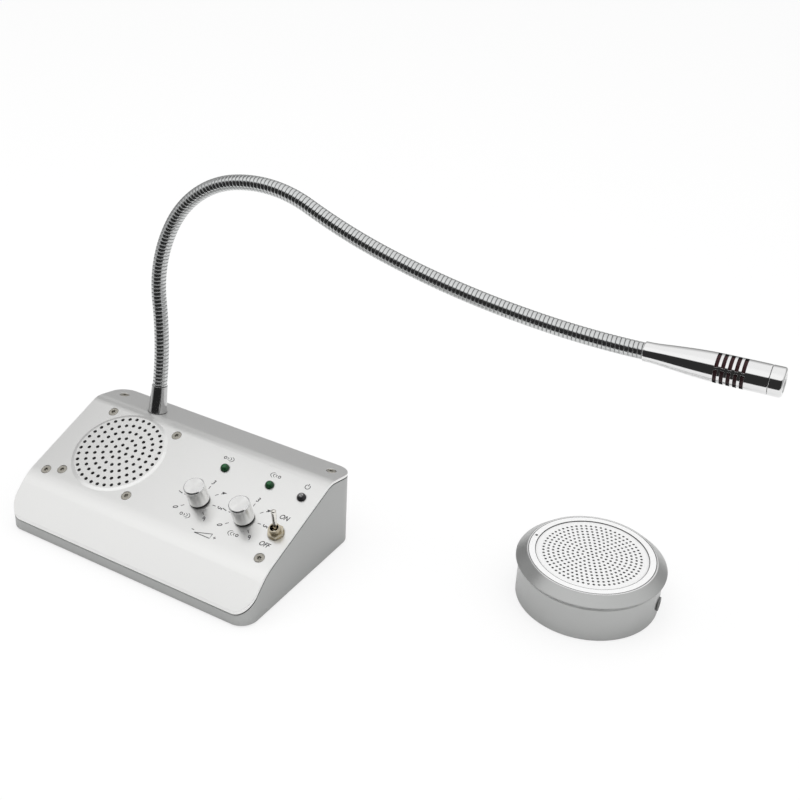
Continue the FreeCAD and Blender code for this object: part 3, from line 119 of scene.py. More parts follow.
@dataclass(frozen=True)
class Layout:
    """Places that the console's pieces share, as in the solid model."""

    ridge: tuple[float, float, float] = (0.0, 27.0, 48.6)
    slope_angle: float = 20.7
    roof_angle: float = 11.7
    ferrule_x: float = -43.7
    ferrule_run: float = 8.0
    ferrule_height: float = 16.2
    joint_gap: float = 1.6
    neck_angle: float = 4.0
    neck_pitch: float = 47.85
    bends: tuple[float, ...] = (12.8, -37.1, -51.6, -35.5, 7.6, 5.4, 4.7, 5.7)
    unit_x: float = 215.5
    unit_y: float = 75.5

    @property
    def slope(self) -> Frame:
        """Frame of the sloping panel."""
        return Frame(np.array(self.ridge), turn("x", self.slope_angle))

    @property
    def roof(self) -> Frame:
        """Frame of the strip behind the ridge."""
        return Frame(np.array(self.ridge), turn("x", -self.roof_angle))

    @property
    def unit(self) -> Frame:
        """Frame of the outside unit."""
        return WORLD.at((self.unit_x, self.unit_y, 0.0))

    def arc(self, index: int, lengths: Array) -> tuple[Array, Array]:
        """Points and tangent angles along one length of the neck.

        With bend b over the pitch p, the radius is p / b, and a point at length s lies at
        (-radius * (1 - cos(s / radius)), 0, radius * sin(s / radius)) in the length's own frame.

        Args:
            index: which length, from 0.
            lengths: distances along it.

        Returns:
            The points in the length's frame, and the angles turned so far, in radians.
        """
        radius = self.neck_pitch / math.radians(self.bends[index])
        turned = lengths / radius
        points = np.stack([-radius * (1 - np.cos(turned)), 0 * turned, radius * np.sin(turned)], axis=-1)
        return points, turned

    @property
    def neck(self) -> list[Frame]:
        """Frames of the neck's joints, and of the microphone's foot as the last.

        Returns:
            The frames of the neck's eight lengths, and last the one that the microphone stands in.
        """
        foot = (self.ferrule_x, self.ferrule_run, self.ferrule_height + self.joint_gap)
        frames = [self.roof.at(foot, "z", self.neck_angle)]
        for index, bend in enumerate(self.bends):
            end, _ = self.arc(index, np.array([self.neck_pitch]))
            frames.append(frames[-1].at(end[0], "y", -bend))
        return frames


LAYOUT = Layout()


# ---------------------------------------------------------------- surfaces


@dataclass
class Skin:
    """Points and faces of one surface, in millimetres.

    The polar map holds each point's share of the turn, and its distance along the profile.
    """

    points: Array
    quads: Array = field(default_factory=lambda: np.empty((0, 4), int))
    triangles: Array = field(default_factory=lambda: np.empty((0, 3), int))
    polar: Array | None = None

    def carried(self, frame: Frame) -> "Skin":
        """The same surface in its place."""
        return Skin(frame.place(self.points), self.quads, self.triangles, self.polar)

    def trimmed(self) -> "Skin":
        """The same surface without the points that no face uses.

        Returns:
            The same faces on only the points that they use.
        """
        used = np.unique(np.concatenate([self.quads.ravel(), self.triangles.ravel()]))
        fresh = np.zeros(len(self.points), int)
        fresh[used] = np.arange(len(used))
        polar = None if self.polar is None else self.polar[used]
        return Skin(self.points[used], fresh[self.quads], fresh[self.triangles], polar)


def together(skins: Sequence[Skin]) -> Skin:
    """Several surfaces as one.

    Args:
        skins: the surfaces, which share no points.

    Returns:
        One surface that holds them all.
    """
    starts = np.cumsum([0] + [len(skin.points) for skin in skins[:-1]])
    maps = [skin.polar if skin.polar is not None else np.zeros((len(skin.points), 2)) for skin in skins]
    return Skin(
        np.concatenate([skin.points for skin in skins]),
        np.concatenate([skin.quads + start for skin, start in zip(skins, starts)]),
        np.concatenate([skin.triangles + start for skin, start in zip(skins, starts)]),
        np.concatenate(maps),
    )


def angles(count: int) -> Array:
    """Evenly spaced angles of one turn, in radians."""
    return np.arange(count) * (TURN / count)


def swept(radius: Array, height: Array, turned: Array) -> Array:
    """Points (r cos a, r sin a, z), for rows of radii r and heights z, and the angles a."""
    return np.stack([radius * np.cos(turned), radius * np.sin(turned), height + 0 * turned], axis=-1)


def ring_quads(rows: int, count: int) -> Array:
    """Faces between rings of points that follow one another, each ring closed on itself.

    Args:
        rows: how many rings of points there are.
        count: points in each ring.

    Returns:
        The four corners of each face.
    """
    i, j = np.meshgrid(np.arange(rows - 1), np.arange(count), indexing="ij")
    after = (j + 1) % count
    corners = (i * count + j, i * count + after, (i + 1) * count + after, (i + 1) * count + j)
    return np.stack(corners, axis=-1).reshape(-1, 4)


def lathe(profile: Array, count: int = 64) -> Skin:
    """Surface of revolution about Z.

    A point of the profile (r, z) at angle a lies at (r cos a, r sin a, z). Where r is zero the ring shrinks
    to one point. The profile runs up the outside, so that the faces point outwards. Where its first and last
    points are one, the surface closes on itself.

    Args:
        profile: radii and heights, one row for each ring.
        count: points in a ring.

    Returns:
        The surface.
    """
    profile = np.asarray(profile, float)
    closed = bool(np.allclose(profile[0], profile[-1]) and profile[0, 0] > 0)
    rows = profile[:-1] if closed else profile
    turned = angles(count)
    quads = ring_quads(len(rows), count)
    if closed:
        j = np.arange(count)
        after = (j + 1) % count
        last = (len(rows) - 1) * count
        quads = np.concatenate([quads, np.stack([last + j, last + after, after, j], axis=-1)])
    flat = swept(rows[:, :1], rows[:, 1:], turned).reshape(-1, 3)
    index = np.arange(len(flat))
    for row in np.flatnonzero(rows[:, 0] == 0):
        index[row * count : (row + 1) * count] = row * count
    quads = index[quads]
    low = quads[:, 0] == quads[:, 1]
    high = quads[:, 2] == quads[:, 3]
    triangles = np.concatenate([quads[low][:, [0, 2, 3]], quads[high & ~low][:, [0, 1, 2]]])
    span = np.broadcast_to(turned / TURN, (len(rows), count))
    run = np.concatenate([[0.0], np.cumsum(np.linalg.norm(np.diff(rows, axis=0), axis=1))])
    polar = np.stack([span, np.broadcast_to(run[:, None], (len(rows), count))], axis=-1).reshape(-1, 2)
    return Skin(flat, quads[~(low | high)], triangles, polar).trimmed()


def rounded(corners: Sequence[tuple[float, float, float]], steps: int = 5) -> Array:
    """Profile with its corners rounded off.

    At each corner with a radius, the two sides are joined by an arc of that radius that touches both.

    Args:
        corners: radius from the axis, height, and rounding of each corner.
        steps: points in each arc.

    Returns:
        The profile's points, as radii and heights.
    """
    places = np.array([corner[:2] for corner in corners], float)
    made: list[Array] = []
    for k, (*_, rounding) in enumerate(corners):
        here = places[k]
        if rounding == 0 or k in (0, len(corners) - 1):
            made.append(here[None])
            continue
        before, after = places[k - 1] - here, places[k + 1] - here
        before, after = before / np.linalg.norm(before), after / np.linalg.norm(after)
        half = math.acos(float(np.clip(before @ after, -1, 1))) / 2
        middle = (before + after) / np.linalg.norm(before + after)
        centre = here + middle * (rounding / math.sin(half))
        first, last = here + before * rounding / math.tan(half), here + after * rounding / math.tan(half)
        start = math.atan2(*(first - centre)[::-1])
        sweep = math.atan2(*(last - centre)[::-1]) - start
        sweep = (sweep + math.pi) % TURN - math.pi
        turned = start + np.linspace(0, 1, steps) * sweep
        arc = centre + rounding * np.stack([np.cos(turned), np.sin(turned)], axis=-1)
        made.append(arc)
    return np.concatenate(made)


# ---------------------------------------------------------------- nodes of the materials


class Wiring:
    """Adds nodes to one tree and joins them."""

    def __init__(self, tree: bpy.types.NodeTree) -> None:
        """Start on a tree, emptied first."""
        self.tree = tree
        tree.nodes.clear()

    def add(self, kind: str, inputs: dict | None = None, **settings: object) -> bpy.types.Node:
        """Add one node.

        Args:
            kind: Blender's name of the node's class.
            inputs: for each socket, by name or number, a plain value or the socket that feeds it.
            settings: the node's own properties.

        Returns:
            The node.
        """
        node = self.tree.nodes.new(kind)
        for name, value in settings.items():
            setattr(node, name, value)
        for key, value in (inputs or {}).items():
            if isinstance(value, Socket):
                self.tree.links.new(value, node.inputs[key])
            else:
                node.inputs[key].default_value = value
        return node

    def math(self, operation: str, first: Feed, second: Feed = 0.0, clamp: bool = False) -> Socket:
        """Result of one sum."""
        node = self.add("ShaderNodeMath", {0: first, 1: second}, operation=operation, use_clamp=clamp)
        return node.outputs[0]

    def scaled(self, color: Socket, factor: Feed) -> Socket:
        """A colour times a factor."""
        return self.add("ShaderNodeVectorMath", {0: color, 3: factor}, operation="SCALE").outputs[0]

    def between(self, share: Socket, first: Socket, second: tuple[float, ...]) -> Socket:
        """A colour between two, by the share of the second: the mix node's colour sockets are 6, 7 and 2."""
        return self.add("ShaderNodeMix", {0: share, 6: first, 7: second}, data_type="RGBA").outputs[2]

    def spread(self, value: Feed, low: Feed, high: Feed, to_low: float, to_high: float) -> Socket:
        """A value carried smoothly from one span to another, and held inside it.

        Args:
            value: what is carried over.
            low: where the first span begins.
            high: where it ends.
            to_low: what its beginning becomes.
            to_high: what its end becomes.

        Returns:
            The result.
        """
        node = self.add(
            "ShaderNodeMapRange",
            {"Value": value, "From Min": low, "From Max": high, "To Min": to_low, "To Max": to_high},
            interpolation_type="SMOOTHSTEP",
        )
        return node.outputs["Result"]


def group(
    name: str, sockets_in: dict[str, str], sockets_out: dict[str, str]
) -> tuple[bpy.types.NodeTree, Wiring]:
    """Make an empty shader node group.

    Args:
        name: the group's name.
        sockets_in: kinds of its inputs, by name.
        sockets_out: kinds of its outputs, by name.

    Returns:
        The group and the wiring to fill it with.
    """
    tree = bpy.data.node_groups.new(name, "ShaderNodeTree")
    wiring = Wiring(tree)
    for side, sockets in (("INPUT", sockets_in), ("OUTPUT", sockets_out)):
        for socket, kind in sockets.items():
            tree.interface.new_socket(socket, in_out=side, socket_type=f"NodeSocket{kind}")
    return tree, wiring


class Patterns:
    """The shader node groups that the finishes share, each built once."""

    cloud_share: float = 0.6        # of the drift; the speckle has the rest
    coarse_scale: float = 0.31      # of the coarse grain, in scales of the fine one
    dark_share: float = 0.3         # of the open limit, at which a hollow's painted shade is at its darkest
    facet_scale: float = 1100.0     # of a lamp's chip and its painted glints, per metre
    facet_low: float = 0.25         # share of the chip and painted highlight that its dimmest facet shows

    def __init__(self) -> None:
        """Build the groups."""
        self.tone = self._tone()
        self.grain = self._grain()
        self.turned = self._turned()
        self.weave = self._weave()
        self.hollow = self._hollow()
        self.core = self._core()

    def _tone(self) -> bpy.types.NodeTree:
        """Colour and roughness that drift a little over the surface, as cloudy handling marks and speckle do.

        Returns:
            The group, which gives the colour, the roughness and the cloud.
        """
        tree, w = group(
            "surface_tone",
            {"Color": "Color", "Roughness": "Float", "Cloud Scale": "Float", "Speckle Scale": "Float",
             "Color Drift": "Float", "Roughness Drift": "Float"},
            {"Color": "Color", "Roughness": "Float", "Cloud": "Float"},
        )
        given = w.add("NodeGroupInput").outputs
        place = w.add("ShaderNodeTexCoord").outputs["Object"]
        cloud = w.add("ShaderNodeTexNoise", {"Vector": place, "Scale": given["Cloud Scale"], "Detail": 4.0,
                                             "Roughness": 0.55}).outputs["Fac"]
        speckle = w.add("ShaderNodeTexNoise", {"Vector": place, "Scale": given["Speckle Scale"],
                                               "Detail": 2.0}).outputs["Fac"]
        mixed = w.math("ADD", w.math("MULTIPLY", cloud, self.cloud_share),
                       w.math("MULTIPLY", speckle, 1 - self.cloud_share))
        drift = w.math("MULTIPLY", w.math("SUBTRACT", mixed, 0.5), 2.0)
        gain = w.math("ADD", w.math("MULTIPLY", drift, given["Color Drift"]), 1.0)
        shade = w.scaled(given["Color"], gain)
        rougher = w.math("MULTIPLY", drift, given["Roughness Drift"])
        rough = w.math("ADD", given["Roughness"], rougher, clamp=True)
        w.add("NodeGroupOutput", {"Color": shade, "Roughness": rough, "Cloud": cloud})
        return tree

    def _grain(self) -> bpy.types.NodeTree:
        """Height of a fine even grain, as blasting, spraying or moulding leaves.

        Returns:
            The group, which gives the height.
        """
        tree, w = group("fine_grain", {"Scale": "Float", "Coarse Share": "Float"}, {"Height": "Float"})
        given = w.add("NodeGroupInput").outputs
        place = w.add("ShaderNodeTexCoord").outputs["Object"]
        fine = w.add("ShaderNodeTexNoise", {"Vector": place, "Scale": given["Scale"],
                                            "Detail": 3.0}).outputs["Fac"]
        wider = w.math("MULTIPLY", given["Scale"], self.coarse_scale)
        coarse = w.add("ShaderNodeTexVoronoi", {"Vector": place, "Scale": wider},
                       feature="SMOOTH_F1").outputs["Distance"]
        height = w.math("ADD", fine, w.math("MULTIPLY", coarse, given["Coarse Share"]))
        w.add("NodeGroupOutput", {"Height": height})
        return tree

    @staticmethod
    def _distance(w: Wiring) -> Socket:
        """Distance along the profile, from the polar map."""
        polar = w.add("ShaderNodeUVMap", uv_map="polar").outputs["UV"]
        return w.add("ShaderNodeSeparateXYZ", {0: polar}).outputs["Y"]

    def _turned(self) -> bpy.types.NodeTree:
        """Height of the fine circular lines that a lathe tool leaves, by the distance in the polar map.

        Returns:
            The group, which gives the height.
        """
        tree, w = group("turned_lines", {"Lines": "Float", "Unevenness": "Float"}, {"Height": "Float"})
        given = w.add("NodeGroupInput").outputs
        run = w.math("MULTIPLY", self._distance(w), given["Lines"])
        uneven = w.add("ShaderNodeTexNoise", {"W": run, "Scale": 0.7, "Detail": 2.0},
                       noise_dimensions="1D").outputs["Fac"]
        height = w.math("ADD", w.math("SINE", run), w.math("MULTIPLY", uneven, given["Unevenness"]))
        w.add("NodeGroupOutput", {"Height": height})
        return tree

    def _hollow(self) -> bpy.types.NodeTree:
        """Painted shade: share of the colour that is left where walls stand close by, as down a small hole or
        in a seam, found by ambient occlusion.

        Returns:
            The group, which gives the gain.
        """
        tree, w = group("hollow_shade", {"Reach": "Float", "Open": "Float", "Amount": "Float"},
                        {"Gain": "Float"})
        given = w.add("NodeGroupInput").outputs
        clear = w.add("ShaderNodeAmbientOcclusion", {"Distance": given["Reach"]}, samples=6).outputs["AO"]
        darkest = w.math("MULTIPLY", given["Open"], self.dark_share)
        closed = w.spread(clear, darkest, given["Open"], 1.0, 0.0)
        gain = w.math("SUBTRACT", 1.0, w.math("MULTIPLY", closed, given["Amount"]), clamp=True)
        w.add("NodeGroupOutput", {"Gain": gain})
        return tree

    def _core(self) -> bpy.types.NodeTree:
        """Share of a lens's lighter centre, partly the chip behind it and partly a painted highlight: all of
        it in the middle, and uneven, as faceted glints make it.

        Returns:
            The group, which gives the share.
        """
        tree, w = group("lens_core", {"Start": "Float", "End": "Float"}, {"Share": "Float"})
        given = w.add("NodeGroupInput").outputs
        place = w.add("ShaderNodeTexCoord").outputs["Object"]
        cells = w.add("ShaderNodeTexVoronoi", {"Vector": place, "Scale": self.facet_scale})
        facets = cells.outputs["Distance"]
        middle = w.spread(self._distance(w), given["Start"], given["End"], 0.0, 1.0)
        share = w.math("MULTIPLY", middle, w.spread(facets, 0.0, 0.75, 1.0, self.facet_low))
        w.add("NodeGroupOutput", {"Share": share})
        return tree

    def _weave(self) -> bpy.types.NodeTree:
        """Height of a plain weave of fine wires.

        Returns:
            The group, which gives the height.
        """
        tree, w = group("plain_weave", {"Scale": "Float"}, {"Height": "Float"})
        given = w.add("NodeGroupInput").outputs
        place = w.add("ShaderNodeTexCoord").outputs["Object"]
        wave = {"Vector": place, "Scale": given["Scale"], "Distortion": 0.2}
        across = w.add("ShaderNodeTexWave", wave, wave_type="BANDS", bands_direction="X").outputs["Fac"]
        along = w.add("ShaderNodeTexWave", wave, wave_type="BANDS", bands_direction="Z").outputs["Fac"]
        w.add("NodeGroupOutput", {"Height": w.math("MULTIPLY", across, along)})
        return tree


# ---------------------------------------------------------------- finishes


class Texture(Enum):
    """What the fine relief of a finish is."""

    GRAIN = "grain"
    TURNED = "turned"
    WEAVE = "weave"


@dataclass(frozen=True)
class Finish:
    """One finish: its colour, its gloss, and its fine relief."""

    name: str
    slot: str
    color: Color
    metallic: float = 0.0
    roughness: float = 0.5
    color_drift: float = 0.03
    roughness_drift: float = 0.04
    cloud_scale: float = 35.0       # per metre
    speckle_scale: float = 900.0
    texture: Texture = Texture.GRAIN
    texture_scale: float = 4000.0
    texture_depth: float = 0.004    # of the relief
    edge_round: float = 0.2         # of sharp edges, as light sees them
    coat: float = 0.0
    coat_roughness: float = 0.05
    anisotropic: float = 0.0
    sheen: float = 0.0
    groove_shade: float = 0.0       # painted shade: how much darker the bottoms of grooves are
    hollow_shade: float = 0.0       # painted shade: how much darker holes and seams are
    hollow_reach: float = 1.2
    hollow_open: float = 0.66       # share of open sky at which that shade ends
    specular: float = 0.5
    core: Color | None = None       # of a lens's lighter centre: partly the chip behind it, partly a painted highlight
    core_reach: tuple[float, float] = (6.3, 7.4)    # along the lens's profile
    line_unevenness: float = 1.5    # of turned lines
    coarse_share: float = 0.6       # of the grain

    def build(self, patterns: Patterns) -> bpy.types.Material:
        """Make the material.

        Args:
            patterns: the shared node groups.

        Returns:
            The material.
        """
        material = bpy.data.materials.new(self.name)
        material.use_nodes = True
        material.diffuse_color = (*self.color, 1.0)
        w = Wiring(material.node_tree)
        tone = w.add("ShaderNodeGroup", {
            "Color": (*self.color, 1.0), "Roughness": self.roughness, "Cloud Scale": self.cloud_scale,
            "Speckle Scale": self.speckle_scale, "Color Drift": self.color_drift,
            "Roughness Drift": self.roughness_drift,
        }, node_tree=patterns.tone).outputs
        soft = w.add("ShaderNodeBevel", {"Radius": self.edge_round * METRES}, samples=4).outputs["Normal"]
        bump = w.add("ShaderNodeBump", {
            "Height": self._relief(w, patterns), "Distance": self.texture_depth * METRES, "Normal": soft,
        })
        shader = w.add("ShaderNodeBsdfPrincipled", {
            "Base Color": self._shaded(w, patterns, tone["Color"]), "Roughness": tone["Roughness"],
            "Normal": bump.outputs["Normal"], "Metallic": self.metallic, "Coat Weight": self.coat,
            "Coat Roughness": self.coat_roughness, "Anisotropic": self.anisotropic,
            "Anisotropic Rotation": 0.25, "Sheen Weight": self.sheen, "Specular IOR Level": self.specular,
        })
        if self.anisotropic:
            around = w.add("ShaderNodeTangent", direction_type="UV_MAP", uv_map="polar").outputs["Tangent"]
            w.tree.links.new(around, shader.inputs["Tangent"])
        w.add("ShaderNodeOutputMaterial", {"Surface": shader.outputs["BSDF"]})
        return material

    def _shaded(self, w: Wiring, patterns: Patterns, color: Socket) -> Socket:
        """Colour with painted shade in its grooves, its lens's lighter centre (partly the chip behind it,
        partly a painted highlight), and painted shade in its hollows, where it has them.

        Args:
            w: the material's nodes.
            patterns: the shared node groups.
            color: the plain colour.

        Returns:
            The colour as it is seen.
        """
        # painted shade at the bottoms of the grooves
        if self.groove_shade:
            groove = w.add("ShaderNodeAttribute", attribute_name="groove").outputs["Fac"]
            color = w.scaled(color, w.math("SUBTRACT", 1.0, w.math("MULTIPLY", groove, self.groove_shade)))
        # lighter centre in a lens: partly the chip behind it, partly a painted highlight
        if self.core:
            start, end = self.core_reach
            chip_and_highlight = w.add("ShaderNodeGroup", {"Start": start, "End": end}, node_tree=patterns.core)
            color = w.between(chip_and_highlight.outputs["Share"], color, (*self.core, 1.0))
        # painted shade in holes and seams, from ambient occlusion
        if self.hollow_shade:
            hollow = w.add("ShaderNodeGroup", {
                "Reach": self.hollow_reach * METRES, "Open": self.hollow_open, "Amount": self.hollow_shade,
            }, node_tree=patterns.hollow)
            color = w.scaled(color, hollow.outputs["Gain"])
        return color

    def _relief(self, w: Wiring, patterns: Patterns) -> Socket:
        """Height of the finish's fine relief.

        Args:
            w: the material's nodes.
            patterns: the shared node groups.

        Returns:
            The height.
        """
        scale = self.texture_scale
        tree, values = {
            Texture.TURNED: (patterns.turned, {"Lines": scale, "Unevenness": self.line_unevenness}),
            Texture.WEAVE: (patterns.weave, {"Scale": scale}),
            Texture.GRAIN: (patterns.grain, {"Scale": scale, "Coarse Share": self.coarse_share}),
        }[self.texture]
        return w.add("ShaderNodeGroup", values, node_tree=tree).outputs["Height"]


# Each one's name, slot, colour, metalness, roughness, drift of the colour and of the roughness, and scales of
# the clouds and of the speckle; then what it has of its own.
# hollow_shade and groove_shade darken the colour as painted shade, in holes, seams and grooves.
FINISHES: dict[str, Finish] = {
    finish.name: finish
    for finish in (
        Finish("tray_paint", "silver_paint", (0.43, 0.435, 0.43), 0.85, 0.36, 0.03, 0.05, 28.0, 2600.0,
               texture_depth=0.006, edge_round=0.45, hollow_shade=0.97, hollow_reach=1.8, hollow_open=0.88),
        Finish("cover_metal", "cover_metal", (0.84, 0.84, 0.83), 0.9, 0.29, 0.015, 0.03, 22.0, 2200.0,
               texture_depth=0.005, edge_round=0.15, hollow_shade=0.98, hollow_open=0.92),
        Finish("screw_zinc", "steel", (0.47, 0.45, 0.40), 1.0, 0.28, 0.06, 0.08, edge_round=0.12,
               texture=Texture.TURNED, texture_scale=22.0, texture_depth=0.02, hollow_shade=0.95,
               hollow_reach=1.1, hollow_open=0.85),
        Finish("plain_steel", "steel", (0.58, 0.57, 0.53), 1.0, 0.35, 0.05, 0.08),
        Finish("chrome", "chrome", (0.80, 0.80, 0.80), 1.0, 0.07, 0.01, 0.03, texture_depth=0.0004,
               edge_round=0.15, hollow_shade=0.93, hollow_reach=1.5, hollow_open=0.75),
        Finish("ferrule_chrome", "chrome", (0.52, 0.52, 0.52), 1.0, 0.15, 0.01, 0.03, texture_depth=0.0004,
               edge_round=0.15, hollow_shade=0.95, hollow_reach=1.8, hollow_open=0.8),
        Finish("hose_chrome", "chrome", (0.62, 0.63, 0.63), 1.0, 0.18, 0.02, 0.04, texture_depth=0.001,
               edge_round=0.05, groove_shade=0.85),
        Finish("nickel", "nickel", (0.52, 0.47, 0.37), 1.0, 0.15, 0.04, 0.05, texture_depth=0.001,
               edge_round=0.1, hollow_shade=0.8),
        Finish("lever_nickel", "nickel", (0.78, 0.76, 0.71), 1.0, 0.14, 0.03, 0.04, texture_depth=0.001),
        Finish("knob_side", "knob_metal", (0.80, 0.80, 0.79), 1.0, 0.28, 0.02, 0.02, texture_depth=0.0004,
               edge_round=0.1, anisotropic=0.75),
        Finish("knob_edge", "knob_metal", (0.72, 0.72, 0.72), 1.0, 0.12, 0.02, 0.04, texture_depth=0.001,
               edge_round=0.08, hollow_shade=0.95, hollow_reach=0.8, hollow_open=0.8),
        Finish("knob_face", "knob_metal", (0.98, 0.98, 0.97), 1.0, 0.38, 0.01, 0.03, texture=Texture.TURNED,
               texture_scale=24.0, texture_depth=0.0006, edge_round=0.05, anisotropic=0.95),
        # the lenses' core colours are partly their chips and partly a painted highlight
        Finish("green_lens", "green_lens", (0.006, 0.050, 0.014), 0.0, 0.24, 0.15, 0.05, 220.0, coat=0.1,
               specular=0.3, hollow_shade=0.9, hollow_open=0.85, core=(0.03, 0.17, 0.06)),
        Finish("grey_lens", "grey_lens", (0.020, 0.020, 0.022), 0.0, 0.24, 0.10, 0.05, 220.0, coat=0.1,
               specular=0.3, hollow_shade=0.9, hollow_open=0.85, core=(0.55, 0.55, 0.55)),
        Finish("black_plastic", "black_plastic", (0.022, 0.022, 0.023), 0.0, 0.45, 0.15, 0.06, 60.0,
               texture_depth=0.015),
        Finish("board_laminate", "board_laminate", (0.02, 0.13, 0.05), 0.0, 0.3, 0.12, 0.05, 90.0, coat=0.5),
        Finish("ferrite", "ferrite", (0.075, 0.075, 0.08), 0.3, 0.55, 0.15, 0.08, 80.0, texture_depth=0.03),
        Finish("zinc_frame", "zinc_frame", (0.50, 0.51, 0.52), 1.0, 0.38, 0.12, 0.1, 120.0),
        Finish("cone_paper", "paper", (0.018, 0.018, 0.019), 0.0, 0.85, 0.2, 0.05, 300.0,
               texture_scale=2500.0, texture_depth=0.05, sheen=0.2),
        Finish("foam", "foam", (0.03, 0.03, 0.032), 0.0, 0.95, 0.2, 0.03, 400.0, texture_scale=1500.0,
               texture_depth=0.12),
        Finish("rubber", "rubber_black", (0.025, 0.025, 0.026), 0.0, 0.62, 0.15, 0.05, 80.0,
               texture_depth=0.02),
        Finish("grey_rubber", "rubber_black", (0.20, 0.20, 0.20), 0.0, 0.55, 0.10, 0.05, 80.0,
               texture_depth=0.02),
        Finish("screen_cloth", "screen_cloth", (0.030, 0.0015, 0.004), 0.0, 0.7, 0.1, 0.05,
               texture=Texture.WEAVE, texture_scale=900.0, texture_depth=0.08),
        Finish("unit_silver", "unit_silver", (0.46, 0.465, 0.46), 0.95, 0.30, 0.06, 0.06, 30.0, 2400.0,
               texture_depth=0.016, edge_round=0.6, hollow_shade=0.9),
        Finish("unit_trim", "unit_trim", (0.96, 0.96, 0.96), 0.1, 0.25, 0.01, 0.03, 30.0, 2000.0,
               texture_depth=0.003, edge_round=0.2, hollow_shade=0.98, hollow_reach=1.6, hollow_open=0.92),
        Finish("unit_mesh", "unit_mesh", (0.93, 0.93, 0.93), 0.1, 0.42, 0.02, 0.04, 40.0, 1500.0,
               texture_depth=0.006, edge_round=0.08, hollow_shade=0.99, hollow_reach=1.6, hollow_open=0.97),
        Finish("ink", "black_plastic", (0.022, 0.022, 0.026), 0.0, 0.55, 0.15, 0.05, 300.0,
               texture_depth=0.002, edge_round=0.02),
    )
}


# ---------------------------------------------------------------- making pieces


class Workshop:
    """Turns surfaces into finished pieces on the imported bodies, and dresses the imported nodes."""

    def __init__(self, frame: dict) -> None:
        """Keep the loaded frame, and build every material once.
        """
        self.nodes: dict[str, bpy.types.Object] = frame["nodes"]
        patterns = Patterns()
        self.materials = {name: finish.build(patterns) for name, finish in FINISHES.items()}

    def mesh(self, name: str, skin: Skin, sharp_angle: float = 35.0) -> bpy.types.Object:
        """Write a surface into a new object.

        Args:
            name: the piece's name.
            skin: the surface, in the part's own frame.
            sharp_angle: faces that meet at more than this stay apart in shading.

        Returns:
            The object, at the origin.
        """
        mesh = bpy.data.meshes.new(name)
        corners = np.concatenate([skin.quads.ravel(), skin.triangles.ravel()]).astype(np.int32)
        counts = np.concatenate([np.full(len(skin.quads), 4), np.full(len(skin.triangles), 3)])
        starts = np.concatenate([[0], np.cumsum(counts)[:-1]]).astype(np.int32)
        mesh.vertices.add(len(skin.points))
        mesh.vertices.foreach_set("co", (skin.points * METRES).astype(np.float32).ravel())
        mesh.loops.add(len(corners))
        mesh.loops.foreach_set("vertex_index", corners)
        mesh.polygons.add(len(counts))
        mesh.polygons.foreach_set("loop_start", starts)
        if skin.polar is not None:
            layer = mesh.uv_layers.new(name="polar")
            layer.uv.foreach_set("vector", self.unwrapped(skin, corners).astype(np.float32).ravel())
        mesh.update(calc_edges=True)
        mesh.validate()
        mesh.polygons.foreach_set("use_smooth", np.ones(len(counts), bool))
        mesh.set_sharp_from_angle(angle=math.radians(sharp_angle))
        piece = bpy.data.objects.new(name, mesh)
        bpy.context.scene.collection.objects.link(piece)
        return piece

    @staticmethod
    def unwrapped(skin: Skin, corners: Array) -> Array:
        """Polar map by face corner, with no face that runs back over the whole turn.

        In a face whose shares of the turn differ by more than a half, one turn is added to the lesser ones.

        Args:
            skin: the surface.
            corners: its points in the order of the faces' corners, quads first.

        Returns:
            The share of the turn and the distance of each corner.
        """
        share = skin.polar[corners, 0]
        split = skin.quads.size
        parts = []
        for faces in (share[:split].reshape(-1, 4), share[split:].reshape(-1, 3)):
            wide = np.ptp(faces, axis=1, keepdims=True) > 0.5
            parts.append((faces + (wide & (faces < 0.5))).ravel())
        return np.stack([np.concatenate(parts), skin.polar[corners, 1]], axis=-1)

    def finish(self, piece: bpy.types.Object, finish: str) -> bpy.types.Object:
        """Give a piece its material.

        Args:
            piece: the object.
            finish: name of its finish.

        Returns:
            The same object.
        """
        piece.data.materials.clear()
        piece.data.materials.append(self.materials[finish])
        return piece

    def make(self, name: str, skin: Skin, finish: str, body: str, replaces: Sequence[str] = (),
             sharp_angle: float = 35.0) -> bpy.types.Object:
        """Make one finished piece that rides on a body.

        Args:
            name: the piece's name.
            skin: the surface, in the part's own frame.
            finish: name of its finish.
            body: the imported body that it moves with.
            replaces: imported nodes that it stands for.
            sharp_angle: faces that meet at more than this stay apart in shading.

        Returns:
            The piece.
        """
        piece = self.finish(self.mesh(name, skin, sharp_angle), finish)
        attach(piece, body)
        if replaces:
            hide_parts(*replaces)
        LOG.info("%s: %d faces, %s, on %s", name, len(piece.data.polygons), finish, body)
        return piece

    def dress(self, finishes: dict[str, str]) -> None:
        """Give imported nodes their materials, which leaves their meshes as they are.

        Args:
            finishes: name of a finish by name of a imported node.
        """
        for node, finish in finishes.items():
            materials = self.nodes[node].data.materials
            materials.clear()
            materials.append(self.materials[finish])
            LOG.info("%s: packed node, %s", node, finish)


# ---------------------------------------------------------------- console


